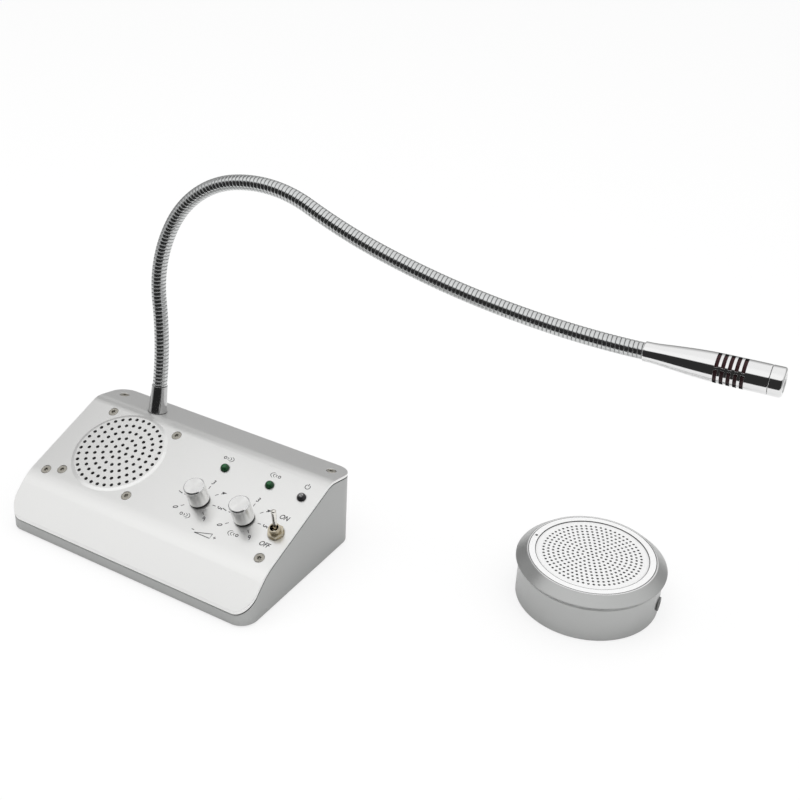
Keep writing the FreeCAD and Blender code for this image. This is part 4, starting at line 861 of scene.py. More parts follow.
@dataclass
class Console:
    """Shell of the console and what is fixed inside it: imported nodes, each with its finish."""

    finishes: dict[str, str] = field(default_factory=lambda: {
        "base_tray": "tray_paint", "cover_posts": "plain_steel", "rubber_base": "rubber",
        "front_cover": "cover_metal", "speaker_gasket": "foam", "speaker_frame": "zinc_frame",
        "speaker_magnet": "ferrite", "speaker_cone": "cone_paper", "speaker_nuts": "plain_steel",
        "internal_pot": "plain_steel", "external_pot": "plain_steel", "panel_washers": "nickel",
        "panel_nuts": "nickel", "switch_case": "nickel", "main_board": "board_laminate",
        "board_pillars": "nickel", "board_screws": "plain_steel", "amplifier_block": "black_plastic",
        "board_components": "black_plastic", "power_inlet": "black_plastic", "unit_socket": "black_plastic",
        "line_socket": "black_plastic", "ferrule_washer": "nickel", "ferrule_nut": "nickel",
        "internal_shaft": "nickel", "external_shaft": "nickel",
    })

    def build(self, shop: Workshop) -> None:
        """Dress the console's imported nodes."""
        shop.dress(self.finishes)


@dataclass
class SocketScrews:
    """Countersunk screws with hexagon sockets, flush in the cover."""

    head_radius: float = 3.0
    shank_radius: float = 1.5
    tip_chamfer: float = 0.3
    rim: Pairs = ((0.30, -0.32), (0.26, -0.14), (0.52, 0.02), (0.86, 0.03))     # in from the edge, and height
    socket_flats: float = 2.0
    socket_depth: float = 1.0
    socket_mouth: Pairs = ((1.12, 0.02), (1.0, -0.10))      # share of the hexagon, and height
    socket_floor: Pairs = ((0.98, 0.0), (0.5, -0.10))       # the same, from the socket's depth
    drill_tip: float = 0.35
    count: int = 48
    corner_x: float = 73.7
    slope_run: float = 57.2
    slope_turn: float = 17.0        # how the sockets stand, no two alike
    roof_run: float = 13.7
    roof_turn: float = 40.0
    cover_reach: float = 9.0
    speaker_x: float = -41.5
    speaker_run: float = 30.0
    speaker_half: float = 23.4
    speaker_turns: tuple[float, float, float] = (11.0, 23.0, 31.0)      # and what a column and a row add
    speaker_reach: float = 6.1

    def skin(self, reach: float) -> Skin:
        """One screw about Z, its head's face at z = 0.

        Rings of points run up the shank and the head's cone, over its chamfered edge, in across the face, and
        down the socket. In the socket a ring's radius at angle a is that of a hexagon: half the width across
        flats, over the cosine of the angle from the nearest flat's middle.

        Args:
            reach: length from the head's face to the end of the shank.

        Returns:
            The surface.
        """
        turned = angles(self.count)
        sector = TURN / 6
        hexagon = self.socket_flats / 2 / np.cos((turned + sector / 2) % sector - sector / 2)
        round_rings = [
            (0.0, -reach), (self.shank_radius - self.tip_chamfer, -reach),
            (self.shank_radius, self.tip_chamfer - reach),
            (self.shank_radius, self.shank_radius - self.head_radius),
            *((self.head_radius - inset, z) for inset, z in self.rim),
        ]
        lower = lathe(np.array(round_rings), self.count)
        face_radius, face_height = round_rings[-1]
        rings = [*self.socket_mouth, *((share, z - self.socket_depth) for share, z in self.socket_floor)]
        radius = np.stack([np.full(self.count, face_radius), *(share * hexagon for share, _ in rings)])
        height = np.array([face_height, *(z for _, z in rings)])[:, None]
        grid = swept(radius, height, turned).reshape(-1, 3)
        points = np.concatenate([grid, [[0.0, 0.0, -self.socket_depth - self.drill_tip]]])
        j = np.arange(self.count)
        last = len(rings) * self.count
        pole = np.stack([last + j, last + (j + 1) % self.count, np.full(self.count, len(grid))], axis=-1)
        polar = np.stack([np.broadcast_to(turned / TURN, radius.shape), radius], axis=-1).reshape(-1, 2)
        polar = np.concatenate([polar, [[0.0, 0.0]]])
        upper = Skin(points, ring_quads(len(rings) + 1, self.count), pole, polar)
        return together([lower, upper])

    def build(self, shop: Workshop) -> None:
        """Make the cover's four screws and the loudspeaker's four.

        Args:
            shop: makes and dresses the pieces.
        """
        cover = [LAYOUT.slope.at((side * self.corner_x, -self.slope_run, 0), "z", self.slope_turn * side)
                 for side in (-1, 1)]
        cover += [LAYOUT.roof.at((side * self.corner_x, self.roof_run, 0), "z", self.roof_turn + side)
                  for side in (-1, 1)]
        turned, by_column, by_row = self.speaker_turns
        half = self.speaker_half
        speaker = [
            LAYOUT.slope.at((self.speaker_x + i * half, j * half - self.speaker_run, 0),
                            "z", turned + by_column * i + by_row * j)
            for i in (-1, 1) for j in (-1, 1)
        ]
        for name, reach, places in (
            ("cover", self.cover_reach, cover), ("speaker", self.speaker_reach, speaker),
        ):
            screw = self.skin(reach)
            shop.make(f"{name}_screw_set", together([screw.carried(place) for place in places]), "screw_zinc",
                      "console", [f"{name}_screws"])


@dataclass
class Knob:
    """Turned knob: a straight side, a groove, a bright chamfered edge, and a spun face dished by a hair."""

    name: str
    x: float
    run: float = 39.3
    radius: float = 5.75
    foot: float = 1.3
    top: float = 12.8
    chamfer: float = 0.5
    groove_top: float = 0.65        # below the face
    groove_foot: float = 1.15
    groove_depth: float = 0.22
    groove_slant: float = 0.10      # of each of its sides
    groove_reach: float = 0.6       # how far in its floor runs, out of sight
    face_rim: float = 0.25          # flat round the face
    face_drop: float = 0.3          # of that rim's inner wall
    face_lap: float = 0.05          # of the face under the rim
    face_sink: float = 0.02
    face_dish: float = 0.10
    skirt_radius: float = 4.95
    skirt_depth: float = 2.6
    insert_radius: float = 5.35
    insert_foot: float = 0.45
    insert_reach: float = 2.0       # up into the skirt
    insert_play: float = 0.05       # from the skirt, and twice that from the bore
    bore_radius: float = 2.0
    bore_top: float = 10.2
    count: int = 96
    sharp_angle: float = 25.0

    def build(self, shop: Workshop) -> None:
        """Make the knob's side, its bright edge, its dark insert and its face.

        Args:
            shop: makes and dresses the pieces.
        """
        place = LAYOUT.slope.at((self.x, -self.run, 0))
        skirt_top = self.foot + self.skirt_depth
        groove_low, groove_high = self.top - self.groove_foot, self.top - self.groove_top
        floor_radius, hidden_radius = self.radius - self.groove_depth, self.radius - self.groove_reach
        floor_low, floor_high = groove_low + self.groove_slant, groove_high - self.groove_slant
        face_radius = self.radius - self.chamfer
        well_radius = face_radius - self.face_rim
        inner, outer = self.bore_radius + 2 * self.insert_play, self.skirt_radius - self.insert_play
        insert_top = self.foot + self.insert_reach
        outlines = {
            "body": ("knob_side", [
                (0.0, self.bore_top, 0), (self.bore_radius, self.bore_top, 0),
                (self.bore_radius, skirt_top, 0), (self.skirt_radius, skirt_top, 0.1),
                (self.skirt_radius, self.foot, 0.1), (self.radius, self.foot, 0.2),
                (self.radius, groove_low, 0.05), (floor_radius, floor_low, 0), (hidden_radius, floor_low, 0),
            ]),
            "edge": ("knob_edge", [
                (hidden_radius, floor_low, 0), (floor_radius, floor_low, 0), (floor_radius, floor_high, 0),
                (self.radius, groove_high, 0.05), (self.radius, self.top - self.chamfer, 0.12),
                (face_radius, self.top, 0.08), (well_radius, self.top, 0),
                (well_radius, self.top - self.face_drop, 0),
            ]),
            "insert": ("black_plastic", [
                (inner, insert_top, 0), (inner, self.insert_foot, 0),
                (self.insert_radius, self.insert_foot, 0.2), (self.insert_radius, self.foot - 0.02, 0),
                (outer, self.foot, 0), (outer, insert_top, 0), (inner, insert_top, 0),
            ]),
        }
        body = f"{self.name}_control"
        for part, (finish, outline) in outlines.items():
            skin = lathe(rounded(outline), self.count).carried(place)
            replaced = [f"{self.name}_knob"] if part == "body" else []
            shop.make(f"{self.name}_knob_{part}", skin, finish, body, replaced, self.sharp_angle)
        radii = np.linspace(well_radius + self.face_lap, 0.0, 24)
        heights = self.top - self.face_sink - self.face_dish * (1 - (radii / face_radius) ** 2)
        face = lathe(np.stack([radii, heights], axis=-1), self.count)
        shop.make(f"{self.name}_knob_face", face.carried(place), "knob_face", body)


@dataclass
class Toggle:
    """Toggle switch's lever and the thread on its bush."""

    x: float = 73.2
    run: float = 40.5
    pivot: float = 1.2
    lean: float = 13.5
    length: float = 15.2
    ball_radius: float = 1.9
    ball_span: tuple[float, float] = (-1.0, 1.05)   # of its outline, in radians
    foot_radius: float = 1.1
    waist_rise: float = 0.25        # above the ball
    tip_radius: float = 1.4
    tip_flatness: float = 0.8
    tail: float = 3.0
    bush_radius: float = 3.0
    thread_low: float = 2.4
    thread_high: float = 4.8
    thread_pitch: float = 0.5
    thread_depth: float = 0.06
    thread_lift: float = 0.01       # of its roots off the bush
    thread_wall: float = 0.2

    def lever(self) -> Skin:
        """Lever as a lathe profile: a tail, a ball, a rod that swells a little, and a flat dome.

        Returns:
            The surface about Z, its ball's middle at the origin.
        """
        swing = np.linspace(*self.ball_span, 15)
        ball = self.ball_radius * np.stack([np.cos(swing), np.sin(swing)], axis=-1)
        rod_top = self.length - self.tip_radius
        dome = np.linspace(0, TURN / 4, 9)
        tip = self.tip_radius * np.stack([np.cos(dome), self.tip_flatness * np.sin(dome)], axis=-1)
        tip[:, 1] += rod_top
        tip[-1, 0] = 0.0
        return lathe(np.concatenate([
            [[0.0, -self.tail], [self.foot_radius, -self.tail]], ball,
            [[self.foot_radius, self.ball_radius + self.waist_rise],
             [self.foot_radius + 0.02, self.ball_radius + 4 * self.waist_rise],
             [self.foot_radius * 1.12, rod_top * 0.72], [self.tip_radius * 0.96, rod_top - 1.2]], tip,
        ]), 48)

    def thread(self) -> Skin:
        """Bush's thread as rings: the radius rises and falls once in a pitch, by the cosine of the height.

        Returns:
            The surface about Z, closed on itself.
        """
        turns = (self.thread_high - self.thread_low) / self.thread_pitch
        heights = np.linspace(self.thread_low, self.thread_high, int(turns * 6) + 1)
        wave = np.cos(TURN * (heights - self.thread_low) / self.thread_pitch)
        crest = self.thread_depth * (0.5 + 0.5 * wave)
        outer = np.stack([self.bush_radius + self.thread_lift + crest, heights], axis=-1)
        inner_radius = self.bush_radius - self.thread_wall
        inner = np.array([[inner_radius, self.thread_high], [inner_radius, self.thread_low]])
        return lathe(np.concatenate([outer, inner, outer[:1]]), 64)

    def build(self, shop: Workshop) -> None:
        """Make the lever, leaning towards ON, and the bush's thread.

        Args:
            shop: makes and dresses the pieces.
        """
        lever = self.lever().carried(LAYOUT.slope.at((self.x, -self.run, self.pivot), "x", -self.lean))
        shop.make("toggle_lever", lever, "lever_nickel", "lever", ["switch_lever"], 50.0)
        thread = self.thread().carried(LAYOUT.slope.at((self.x, -self.run, 0)))
        shop.make("bush_thread", thread, "nickel", "console")


@dataclass
class Lamp:
    """Round lamp: a dome on a short barrel through the cover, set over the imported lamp."""

    name: str
    x: float
    finish: str
    run: float = 15.2
    radius: float = 2.5
    lift: float = 0.02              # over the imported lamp
    barrel: float = 0.15            # above the cover
    sheet: float = 1.5

    def build(self, shop: Workshop) -> None:
        """Make the lens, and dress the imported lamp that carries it.

        Args:
            shop: makes and dresses the pieces.
        """
        shop.dress({self.name: self.finish})
        radius = self.radius + self.lift
        swing = np.linspace(0, TURN / 4, 14)
        dome = np.stack([radius * np.cos(swing), self.barrel + radius * np.sin(swing)], axis=-1)
        dome[-1, 0] = 0.0
        profile = np.concatenate([[[0.0, -self.sheet], [radius, -self.sheet]], dome])
        place = LAYOUT.slope.at((self.x, -self.run, 0))
        shop.make(f"{self.name}_lens", lathe(profile, 48).carried(place), self.finish, "console")


# ---------------------------------------------------------------- printing on the panel


@dataclass
class PanelPrint:
    """Ink on the sloping panel: numbers and ticks round both dials, ON and OFF, and plain marks by the lamps.

    A place is the distance from the panel's middle, and how far down the panel it lies.
    """

    ink_height: float = 0.04
    dials: Pairs = ((22.3, 39.3), (52.0, 39.3))
    dial_numbers: int = 7
    dial_first: float = 223.7       # angle of the 0
    dial_step: float = 44.4
    tick_inner: float = 8.5
    tick_outer: float = 10.5
    tick_width: float = 0.34
    number_radius: float = 13.2
    number_size: float = 4.1
    word_size: float = 4.1
    weight: float = 0.050           # added round the strokes of the type
    slant: float = 0.25
    type_width: float = 0.86        # share of the type's own width
    on_place: tuple[float, float] = (71.6, 30.4)
    off_place: tuple[float, float] = (71.3, 49.1)
    line: float = 0.38
    talkers: tuple[tuple[float, float, int], ...] = (
        (21.3, 8.7, 1), (50.9, 8.3, -1), (21.3, 50.6, 1), (51.5, 50.3, -1),
    )                               # place, and 1 where the waves go right, -1 where they go left
    talker_shift: float = 3.2       # of the head, from the mark's middle
    talker_head: float = 0.75
    wave_radii: tuple[float, ...] = (2.2, 3.9, 5.6)
    wave_half: float = 48.0         # half the angle of each wave
    wave_squeeze: float = 0.42      # of the waves' height
    power_place: tuple[float, float] = (72.1, 7.8)
    power_radius: float = 1.45
    power_arc: tuple[float, float] = (125.0, 415.0)
    power_bar: tuple[float, float] = (0.5, 2.1)
    wedge_place: tuple[float, float] = (37.2, 56.6)
    wedge_half: float = 5.0
    wedge_low: float = -1.3
    wedge_high: float = 1.7
    sign_gap: float = 2.4           # from the wedge's high end to the plus sign's middle
    sign_half: float = 0.8
    minus_span: tuple[float, float] = (-7.6, -6.0)

    def glyphs(self, text: str, size: float) -> Skin:
        """Flat letters about their middle, as a surface in the XY plane.

        Args:
            text: what to print.
            size: height of the type.

        Returns:
            The letters, in millimetres.
        """
        curve = bpy.data.curves.new("type", "FONT")
        curve.body, curve.size, curve.shear, curve.offset = text, size, self.slant, self.weight
        curve.align_x, curve.align_y, curve.resolution_u = "CENTER", "CENTER", 3
        carrier = bpy.data.objects.new("type", curve)
        bpy.context.scene.collection.objects.link(carrier)
        mesh = bpy.data.meshes.new_from_object(carrier.evaluated_get(bpy.context.evaluated_depsgraph_get()))
        mesh.calc_loop_triangles()
        points = np.empty(len(mesh.vertices) * 3, np.float32)
        mesh.vertices.foreach_get("co", points)
        triangles = np.empty(len(mesh.loop_triangles) * 3, np.int32)
        mesh.loop_triangles.foreach_get("vertices", triangles)
        bpy.data.objects.remove(carrier)
        bpy.data.curves.remove(curve)
        bpy.data.meshes.remove(mesh)
        points = points.reshape(-1, 3).astype(float) * np.array([self.type_width, 1.0, 1.0])
        return Skin(points, triangles=triangles.reshape(-1, 3).astype(int))

    def stroke(self, path: Array, width: float, closed: bool = False) -> Skin:
        """Line of even width along a path in the XY plane: each point is moved half the width to either side.

        Args:
            path: the points of its middle.
            width: its width.
            closed: whether the last point joins the first.

        Returns:
            The line as a surface.
        """
        path = np.asarray(path, float)
        if closed:
            ahead, behind = np.roll(path, -1, axis=0), np.roll(path, 1, axis=0)
        else:
            ahead = np.concatenate([path[1:], path[-1:]])
            behind = np.concatenate([path[:1], path[:-1]])
        along = ahead - behind
        along /= np.linalg.norm(along, axis=1, keepdims=True)
        side = np.stack([-along[:, 1], along[:, 0]], axis=-1) * width / 2
        flat = np.concatenate([path + side, path - side])
        points = np.concatenate([flat, np.zeros((len(flat), 1))], axis=1)
        n = len(path)
        i = np.arange(n if closed else n - 1)
        j = (i + 1) % n
        return Skin(points, quads=np.stack([i, i + n, j + n, j], axis=-1))

    def dial(self, x: float, run: float) -> list[Skin]:
        """Ticks and numbers of one dial; number k stands at the first angle less k steps, its top outwards.

        Args:
            x: the dial's middle, from the panel's middle.
            run: how far down the panel it lies.

        Returns:
            The pieces of print.
        """
        made = []
        for k in range(self.dial_numbers):
            angle = self.dial_first - k * self.dial_step
            spoke = Frame(np.array([x, -run, 0.0]), turn("z", angle - 90))
            tick = self.stroke([[0, self.tick_inner], [0, self.tick_outer]], self.tick_width)
            made.append(tick.carried(spoke))
            number = self.glyphs(str(k), self.number_size)
            made.append(number.carried(spoke.at((0, self.number_radius, 0))))
        return made

    def spot(self, place: tuple[float, float]) -> Frame:
        """Frame at a place on the panel."""
        return Frame(np.array([place[0], -place[1], 0.0]), np.eye(3))

    def arc(self, radius: float, first: float, last: float, count: int) -> Array:
        """Points r (cos a, sin a) of an arc, from its first angle to its last."""
        turned = np.radians(np.linspace(first, last, count))
        return radius * np.stack([np.cos(turned), np.sin(turned)], axis=-1)

    def talker(self, x: float, run: float, way: int) -> list[Skin]:
        """Head as a small ring with three squeezed arcs in front of it.

        Args:
            x: its middle, from the panel's middle.
            run: how far down the panel it lies.
            way: 1 where the waves go right, -1 where they go left.

        Returns:
            The pieces of print.
        """
        spot = self.spot((x - self.talker_shift * way, run))
        head = self.stroke(self.arc(self.talker_head, 0, 360, 25)[:-1], self.line, True)
        made = [head.carried(spot)]
        for radius in self.wave_radii:
            wave = self.stroke(self.arc(radius, -self.wave_half, self.wave_half, 12) * (way, 1), self.line)
            squeezed = Skin(wave.points * np.array([1.0, self.wave_squeeze, 1.0]), wave.quads)
            made.append(squeezed.carried(spot))
        return made

    def marks(self) -> list[Skin]:
        """Plain marks: a talker by each lamp and dial, a ring and bar, and a wedge from minus to plus.

        Returns:
            The strokes, in the panel's plane.
        """
        half, low, high = self.wedge_half, self.wedge_low, self.wedge_high
        plus = half + self.sign_gap
        lines = {
            self.power_place: [self.arc(self.power_radius, *self.power_arc, 20),
                               [[0, height] for height in self.power_bar]],
            self.wedge_place: [
                [[-half, low], [half, low], [half, high]], [[half, high], [-half, low]],
                [[x, 0.0] for x in self.minus_span],
                [[plus - self.sign_half, 0.0], [plus + self.sign_half, 0.0]],
                [[plus, -self.sign_half], [plus, self.sign_half]],
            ],
        }
        talkers = [skin for talker in self.talkers for skin in self.talker(*talker)]
        return talkers + [self.stroke(line, self.line).carried(self.spot(place))
                          for place, drawn in lines.items() for line in drawn]

    def build(self, shop: Workshop) -> None:
        """Print the panel.

        Args:
            shop: makes and dresses the pieces.
        """
        made = [skin for x, run in self.dials for skin in self.dial(x, run)]
        for text, place in (("ON", self.on_place), ("OFF", self.off_place)):
            made.append(self.glyphs(text, self.word_size).carried(self.spot(place)))
        made += self.marks()
        ink = together(made).carried(LAYOUT.slope.at((0, 0, self.ink_height)))
        shop.make("panel_print", ink, "ink", "console")


# ---------------------------------------------------------------- neck


@dataclass
class Ferrule:
    """Tapered sleeve that the neck stands in, with its threaded stub under the roof strip."""

    foot_radius: float = 5.35
    top_radius: float = 4.45
    mouth_radius: float = 4.2
    mouth_depth: float = 5.0
    duct_radius: float = 2.0
    thread_radius: float = 3.5
    thread_end: float = -6.85

    def build(self, shop: Workshop) -> None:
        """Make the ferrule.

        Args:
            shop: makes and dresses the pieces.
        """
        top = LAYOUT.ferrule_height
        profile = rounded([
            (self.duct_radius, self.thread_end, 0), (self.thread_radius, self.thread_end, 0.3),
            (self.thread_radius, 0.0, 0), (self.foot_radius, 0.0, 0.15), (self.foot_radius - 0.02, 0.5, 0.3),
            (self.top_radius, top, 0.12), (self.mouth_radius, top, 0.05),
            (self.mouth_radius, top - self.mouth_depth, 0), (self.duct_radius, top - self.mouth_depth, 0),
            (self.duct_radius, self.thread_end, 0),
        ])
        place = LAYOUT.roof.at((LAYOUT.ferrule_x, LAYOUT.ferrule_run, 0))
        sleeve = lathe(profile, 96).carried(place)
        shop.make("neck_ferrule", sleeve, "ferrule_chrome", "console", ["ferrule"], 30.0)


@dataclass
class Hose:
    """Spiral-metal hose: one band wound round the neck's line, with a narrow groove between its turns."""

    radius: float = 4.15
    turns_per_length: int = 22
    count: int = 40
    lead_in: float = 1.5            # turns hidden in the ferrule
    lead_out: float = 2.0           # turns hidden in the microphone
    phases: tuple[float, ...] = (0.0, 0.07, 0.14, 0.30, 0.5, 0.70, 0.86, 0.93)
    drops: tuple[float, ...] = (0.28, 0.10, 0.03, 0.006, 0.0, 0.006, 0.03, 0.10)

    @property
    def pitch(self) -> float:
        """Length of one turn."""
        return LAYOUT.neck_pitch / self.turns_per_length

    def line(self, lengths: Array) -> tuple[Array, Array, Array]:
        """Middle line of the neck, and the two directions across it, at given lengths from the first joint.

        Before the first joint and past the microphone's foot the line runs on straight.

        Args:
            lengths: distances along the neck, any shape.

        Returns:
            The points, the directions in the neck's plane, and those out of it.
        """
        frames = LAYOUT.neck
        span = LAYOUT.neck_pitch * len(LAYOUT.bends)
        held = np.clip(lengths, 0, span)
        index = np.minimum((held // LAYOUT.neck_pitch).astype(int), len(LAYOUT.bends) - 1)
        points = np.empty(lengths.shape + (3,))
        inward = np.empty_like(points)
        outward = np.empty_like(points)
        for k in range(len(LAYOUT.bends)):
            chosen = index == k
            local, turned = LAYOUT.arc(k, held[chosen] - k * LAYOUT.neck_pitch)
            across = np.stack([np.cos(turned), 0 * turned, np.sin(turned)], axis=-1)
            points[chosen] = frames[k].place(local)
            inward[chosen] = across @ frames[k].axes.T
            outward[chosen] = frames[k].axes[:, 1]
        forward = np.cross(inward, outward)
        points += forward * (lengths - held)[..., None]
        return points, inward, outward

    def piece(self, first_turn: float, turns: float) -> tuple[Skin, Array]:
        """One stretch of the hose.

        Row i and column j of the grid stand at length pitch * (phase(i) + j / count) and at angle j of the
        turn, so each row climbs one pitch in a turn and closes onto the row one turn further on. The radius
        is the hose's, less the drop of the row's place across the band.

        Args:
            first_turn: where it starts, in turns from the first joint.
            turns: its length, in turns.

        Returns:
            The surface, and how deep in the groove each point lies, from 0 to 1.
        """
        per = len(self.phases)
        rows = int(round(turns * per))
        offset = int(round(first_turn * per))
        i = np.arange(rows + per + 1) + offset
        phase = np.array(self.phases)[i % per] + i // per
        drop = np.array(self.drops)[i % per]
        turned = angles(self.count)
        lengths = self.pitch * (phase[:, None] + turned / TURN)
        centre, inward, outward = self.line(lengths)
        radius = (self.radius - drop)[:, None, None]
        spokes = np.cos(turned)[:, None] * inward + np.sin(turned)[:, None] * outward
        points = (centre + radius * spokes).reshape(-1, 3)
        a, j = np.meshgrid(np.arange(rows), np.arange(self.count), indexing="ij")
        wrapped = j == self.count - 1
        after = np.where(wrapped, 0, j + 1)
        climb = np.where(wrapped, per, 0)
        corners = (a * self.count + j, (a + climb) * self.count + after,
                   (a + 1 + climb) * self.count + after, (a + 1) * self.count + j)
        quads = np.stack(corners, axis=-1).reshape(-1, 4)
        caps = [self._cap(points, 0, len(points), True), self._cap(points, rows, len(points) + 1, False)]
        poles = np.stack([pole for pole, _ in caps])
        triangles = np.concatenate([faces for _, faces in caps])
        groove = np.concatenate([np.repeat(drop / max(self.drops), self.count), [0.0, 0.0]])
        skin = Skin(np.concatenate([points, poles]), quads, triangles)
        used = np.unique(np.concatenate([quads.ravel(), triangles.ravel()]))
        return skin.trimmed(), groove[used]

    def _cap(self, points: Array, row: int, pole_index: int, flipped: bool) -> tuple[Array, Array]:
        """Fan that closes one end.

        The end's outline runs once round the row, and steps back across the band where the turn closes.

        Args:
            points: the hose's points.
            row: the row that the end begins with.
            pole_index: number that the outline's middle point is to have.
            flipped: whether the faces look back.

        Returns:
            The middle point, and the faces to it.
        """
        around = row * self.count + np.arange(self.count)
        step = (row + np.arange(len(self.phases), 0, -1)) * self.count
        loop = np.concatenate([around, step])
        middle = np.full(len(loop), pole_index)
        after = np.roll(loop, -1)
        faces = np.stack([middle, after, loop] if flipped else [middle, loop, after], axis=-1)
        return points[loop].mean(axis=0), faces

    def build(self, shop: Workshop) -> None:
        """Make the hose as one stretch for each joint, fixed where it lies, and one that rides with the
        microphone.

        Args:
            shop: makes and dresses the pieces.
        """
        joints = len(LAYOUT.bends)
        middles = (np.arange(joints) + 0.5) * self.turns_per_length
        cuts = [-self.lead_in, *middles.tolist(), joints * self.turns_per_length + self.lead_out]
        for k, (start, stop) in enumerate(zip(cuts, cuts[1:])):
            skin, groove = self.piece(start, stop - start)
            name = f"hose_{k + 1}"
            piece = shop.finish(shop.mesh(name, skin, 70.0), "hose_chrome")
            attribute = piece.data.attributes.new("groove", "FLOAT", "POINT")
            attribute.data.foreach_set("value", groove.astype(np.float32))
            if k == joints:
                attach(piece, f"neck_{k}")
            else:
                pinned = max(start, -LAYOUT.joint_gap / self.pitch)
                ends, _, _ = self.line(np.array([pinned, stop]) * self.pitch)
                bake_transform(piece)
                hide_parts(f"neck_length_{k + 1}")
            LOG.info("%s: %d faces, hose_chrome", name, len(piece.data.polygons))


# ---------------------------------------------------------------- microphone


@dataclass
class Microphone:
    """Chromed microphone: a flared barrel with slots over a dark red screen, and a rounded end cap."""

    stations: Pairs = (
        (0.0, 4.72), (0.25, 4.85), (4.0, 4.92), (8.4, 5.25), (12.0, 5.62), (16.0, 5.98), (20.0, 6.32),
        (25.5, 6.72), (32.4, 7.06), (38.0, 7.18), (45.0, 7.2), (58.6, 7.2), (58.9, 7.05),
    )                               # distance from the foot, and radius
    slot_at: float = 35.0
    slot_pitch: float = 3.1
    slot_width: float = 1.8
    slots: int = 5
    webs: int = 4
    web_middle: float = 80.0
    web_width: float = 10.0
    step: float = 5.0               # of the grid round the barrel
    row_step: float = 1.5
    least_wall: float = 0.4
    tail_bore: float = 4.2
    tail_depth: float = 8.0
    tail_step: float = 0.4          # that the hose's end seats on
    bore: float = 6.2
    bore_at: float = 30.0
    cap_at: float = 59.0
    cap_end: float = 65.6
    cap_radius: float = 7.2
    spigot: float = 3.3
    spigot_play: float = 0.05
    dish_radius: float = 4.4
    dish_depth: float = 0.5
    port_radius: float = 0.9
    port_depth: float = 1.6

    def radius(self, stations: Array) -> Array:
        """Outer radius at given stations, on a smooth line through the measured ones.

        Between two measured stations the radius is the cubic that has, at each of them, the slope of the line
        through their neighbours.

        Args:
            stations: distances from the microphone's foot.

        Returns:
            The radii.
        """
        s, r = np.array(self.stations).T
        slope = np.gradient(r, s)
        slope[[0, 1, -1, -2]] = 0.0
        k = np.clip(np.searchsorted(s, stations, side="right") - 1, 0, len(s) - 2)
        h = s[k + 1] - s[k]
        t = (stations - s[k]) / h
        return ((2 * t**3 - 3 * t**2 + 1) * r[k] + (t**3 - 2 * t**2 + t) * h * slope[k]
                + (3 * t**2 - 2 * t**3) * r[k + 1] + (t**3 - t**2) * h * slope[k + 1])

    def barrel(self) -> Skin:
        """Barrel as an outer and an inner layer of one grid, open where a slot is.

        Cell (i, j) lies between stations i and i + 1 and angles j and j + 1. A cell in a slot has no face in
        either layer, and where a face meets such a cell, a wall joins the two layers.

        Returns:
            The surface about Z.
        """
        low = self.slot_at - self.slot_width / 2 + self.slot_pitch * np.arange(self.slots)
        fixed = np.concatenate([low, low + self.slot_width, np.array(self.stations)[:, 0],
                                [self.bore_at, self.tail_depth]])
        even = np.arange(1.0, self.cap_at - 0.5, self.row_step)
        rows = np.unique(np.round(np.concatenate([fixed, even]), 4))
        turned = angles(int(360 / self.step))
        outer = self.radius(rows)
        inner = np.select([rows <= self.tail_depth, rows < self.bore_at],
                          [self.tail_bore, self.tail_bore - self.tail_step], self.bore)
        inner = np.minimum(inner, outer - self.least_wall)
        layers = [swept(radius[:, None], rows[:, None], turned).reshape(-1, 3) for radius in (outer, inner)]
        middle = (rows[:-1] + rows[1:]) / 2
        in_slot = ((middle[:, None] > low) & (middle[:, None] < low + self.slot_width)).any(axis=1)
        sector = 360 / self.webs
        from_web = (np.degrees(turned) + self.step / 2 - self.web_middle + sector / 2) % sector - sector / 2
        opened = in_slot[:, None] & (np.abs(from_web) > self.web_width / 2)
        return Skin(np.concatenate(layers), self._barrel_faces(opened)).trimmed()

    def _barrel_faces(self, opened: Array) -> Array:
        """Faces of both layers of the barrel, of the walls round its slots, and of its two ends.

        Args:
            opened: which cells are open, by row and column.

        Returns:
            The four corners of each face. The inner layer's points follow all those of the outer one.
        """
        rows, count = opened.shape
        deep = (rows + 1) * count

        def wall(row: Array | int, start: Array, end: Array, end_row: Array | int, way: int) -> Array:
            """Faces between the two layers along edges of the grid, turned over where the way is -1."""
            a, b = row * count + start, end_row * count + end
            return np.stack([a, b, b + deep, a + deep], axis=-1)[:, ::way]

        i, j = np.nonzero(~opened)
        after = (j + 1) % count
        low, high = i * count, (i + 1) * count
        face = np.stack([low + j, low + after, high + after, high + j], axis=-1)
        parts = [face, face[:, ::-1] + deep]
        for edge, way in ((opened[1:] & ~opened[:-1], 1), (opened[:-1] & ~opened[1:], -1)):
            i, j = np.nonzero(edge)
            parts.append(wall(i + 1, j, (j + 1) % count, i + 1, way))
        beside = np.roll(opened, -1, axis=1)
        for edge, way in ((opened & ~beside, 1), (~opened & beside, -1)):
            i, j = np.nonzero(edge)
            after = (j + 1) % count
            parts.append(wall(i, after, after, i + 1, way))
        j = np.arange(count)
        after = (j + 1) % count
        foot = np.stack([j, j + deep, after + deep, after], axis=-1)
        last = rows * count
        head = np.stack([last + j, last + after, last + after + deep, last + j + deep], axis=-1)
        return np.concatenate([*parts, foot, head])

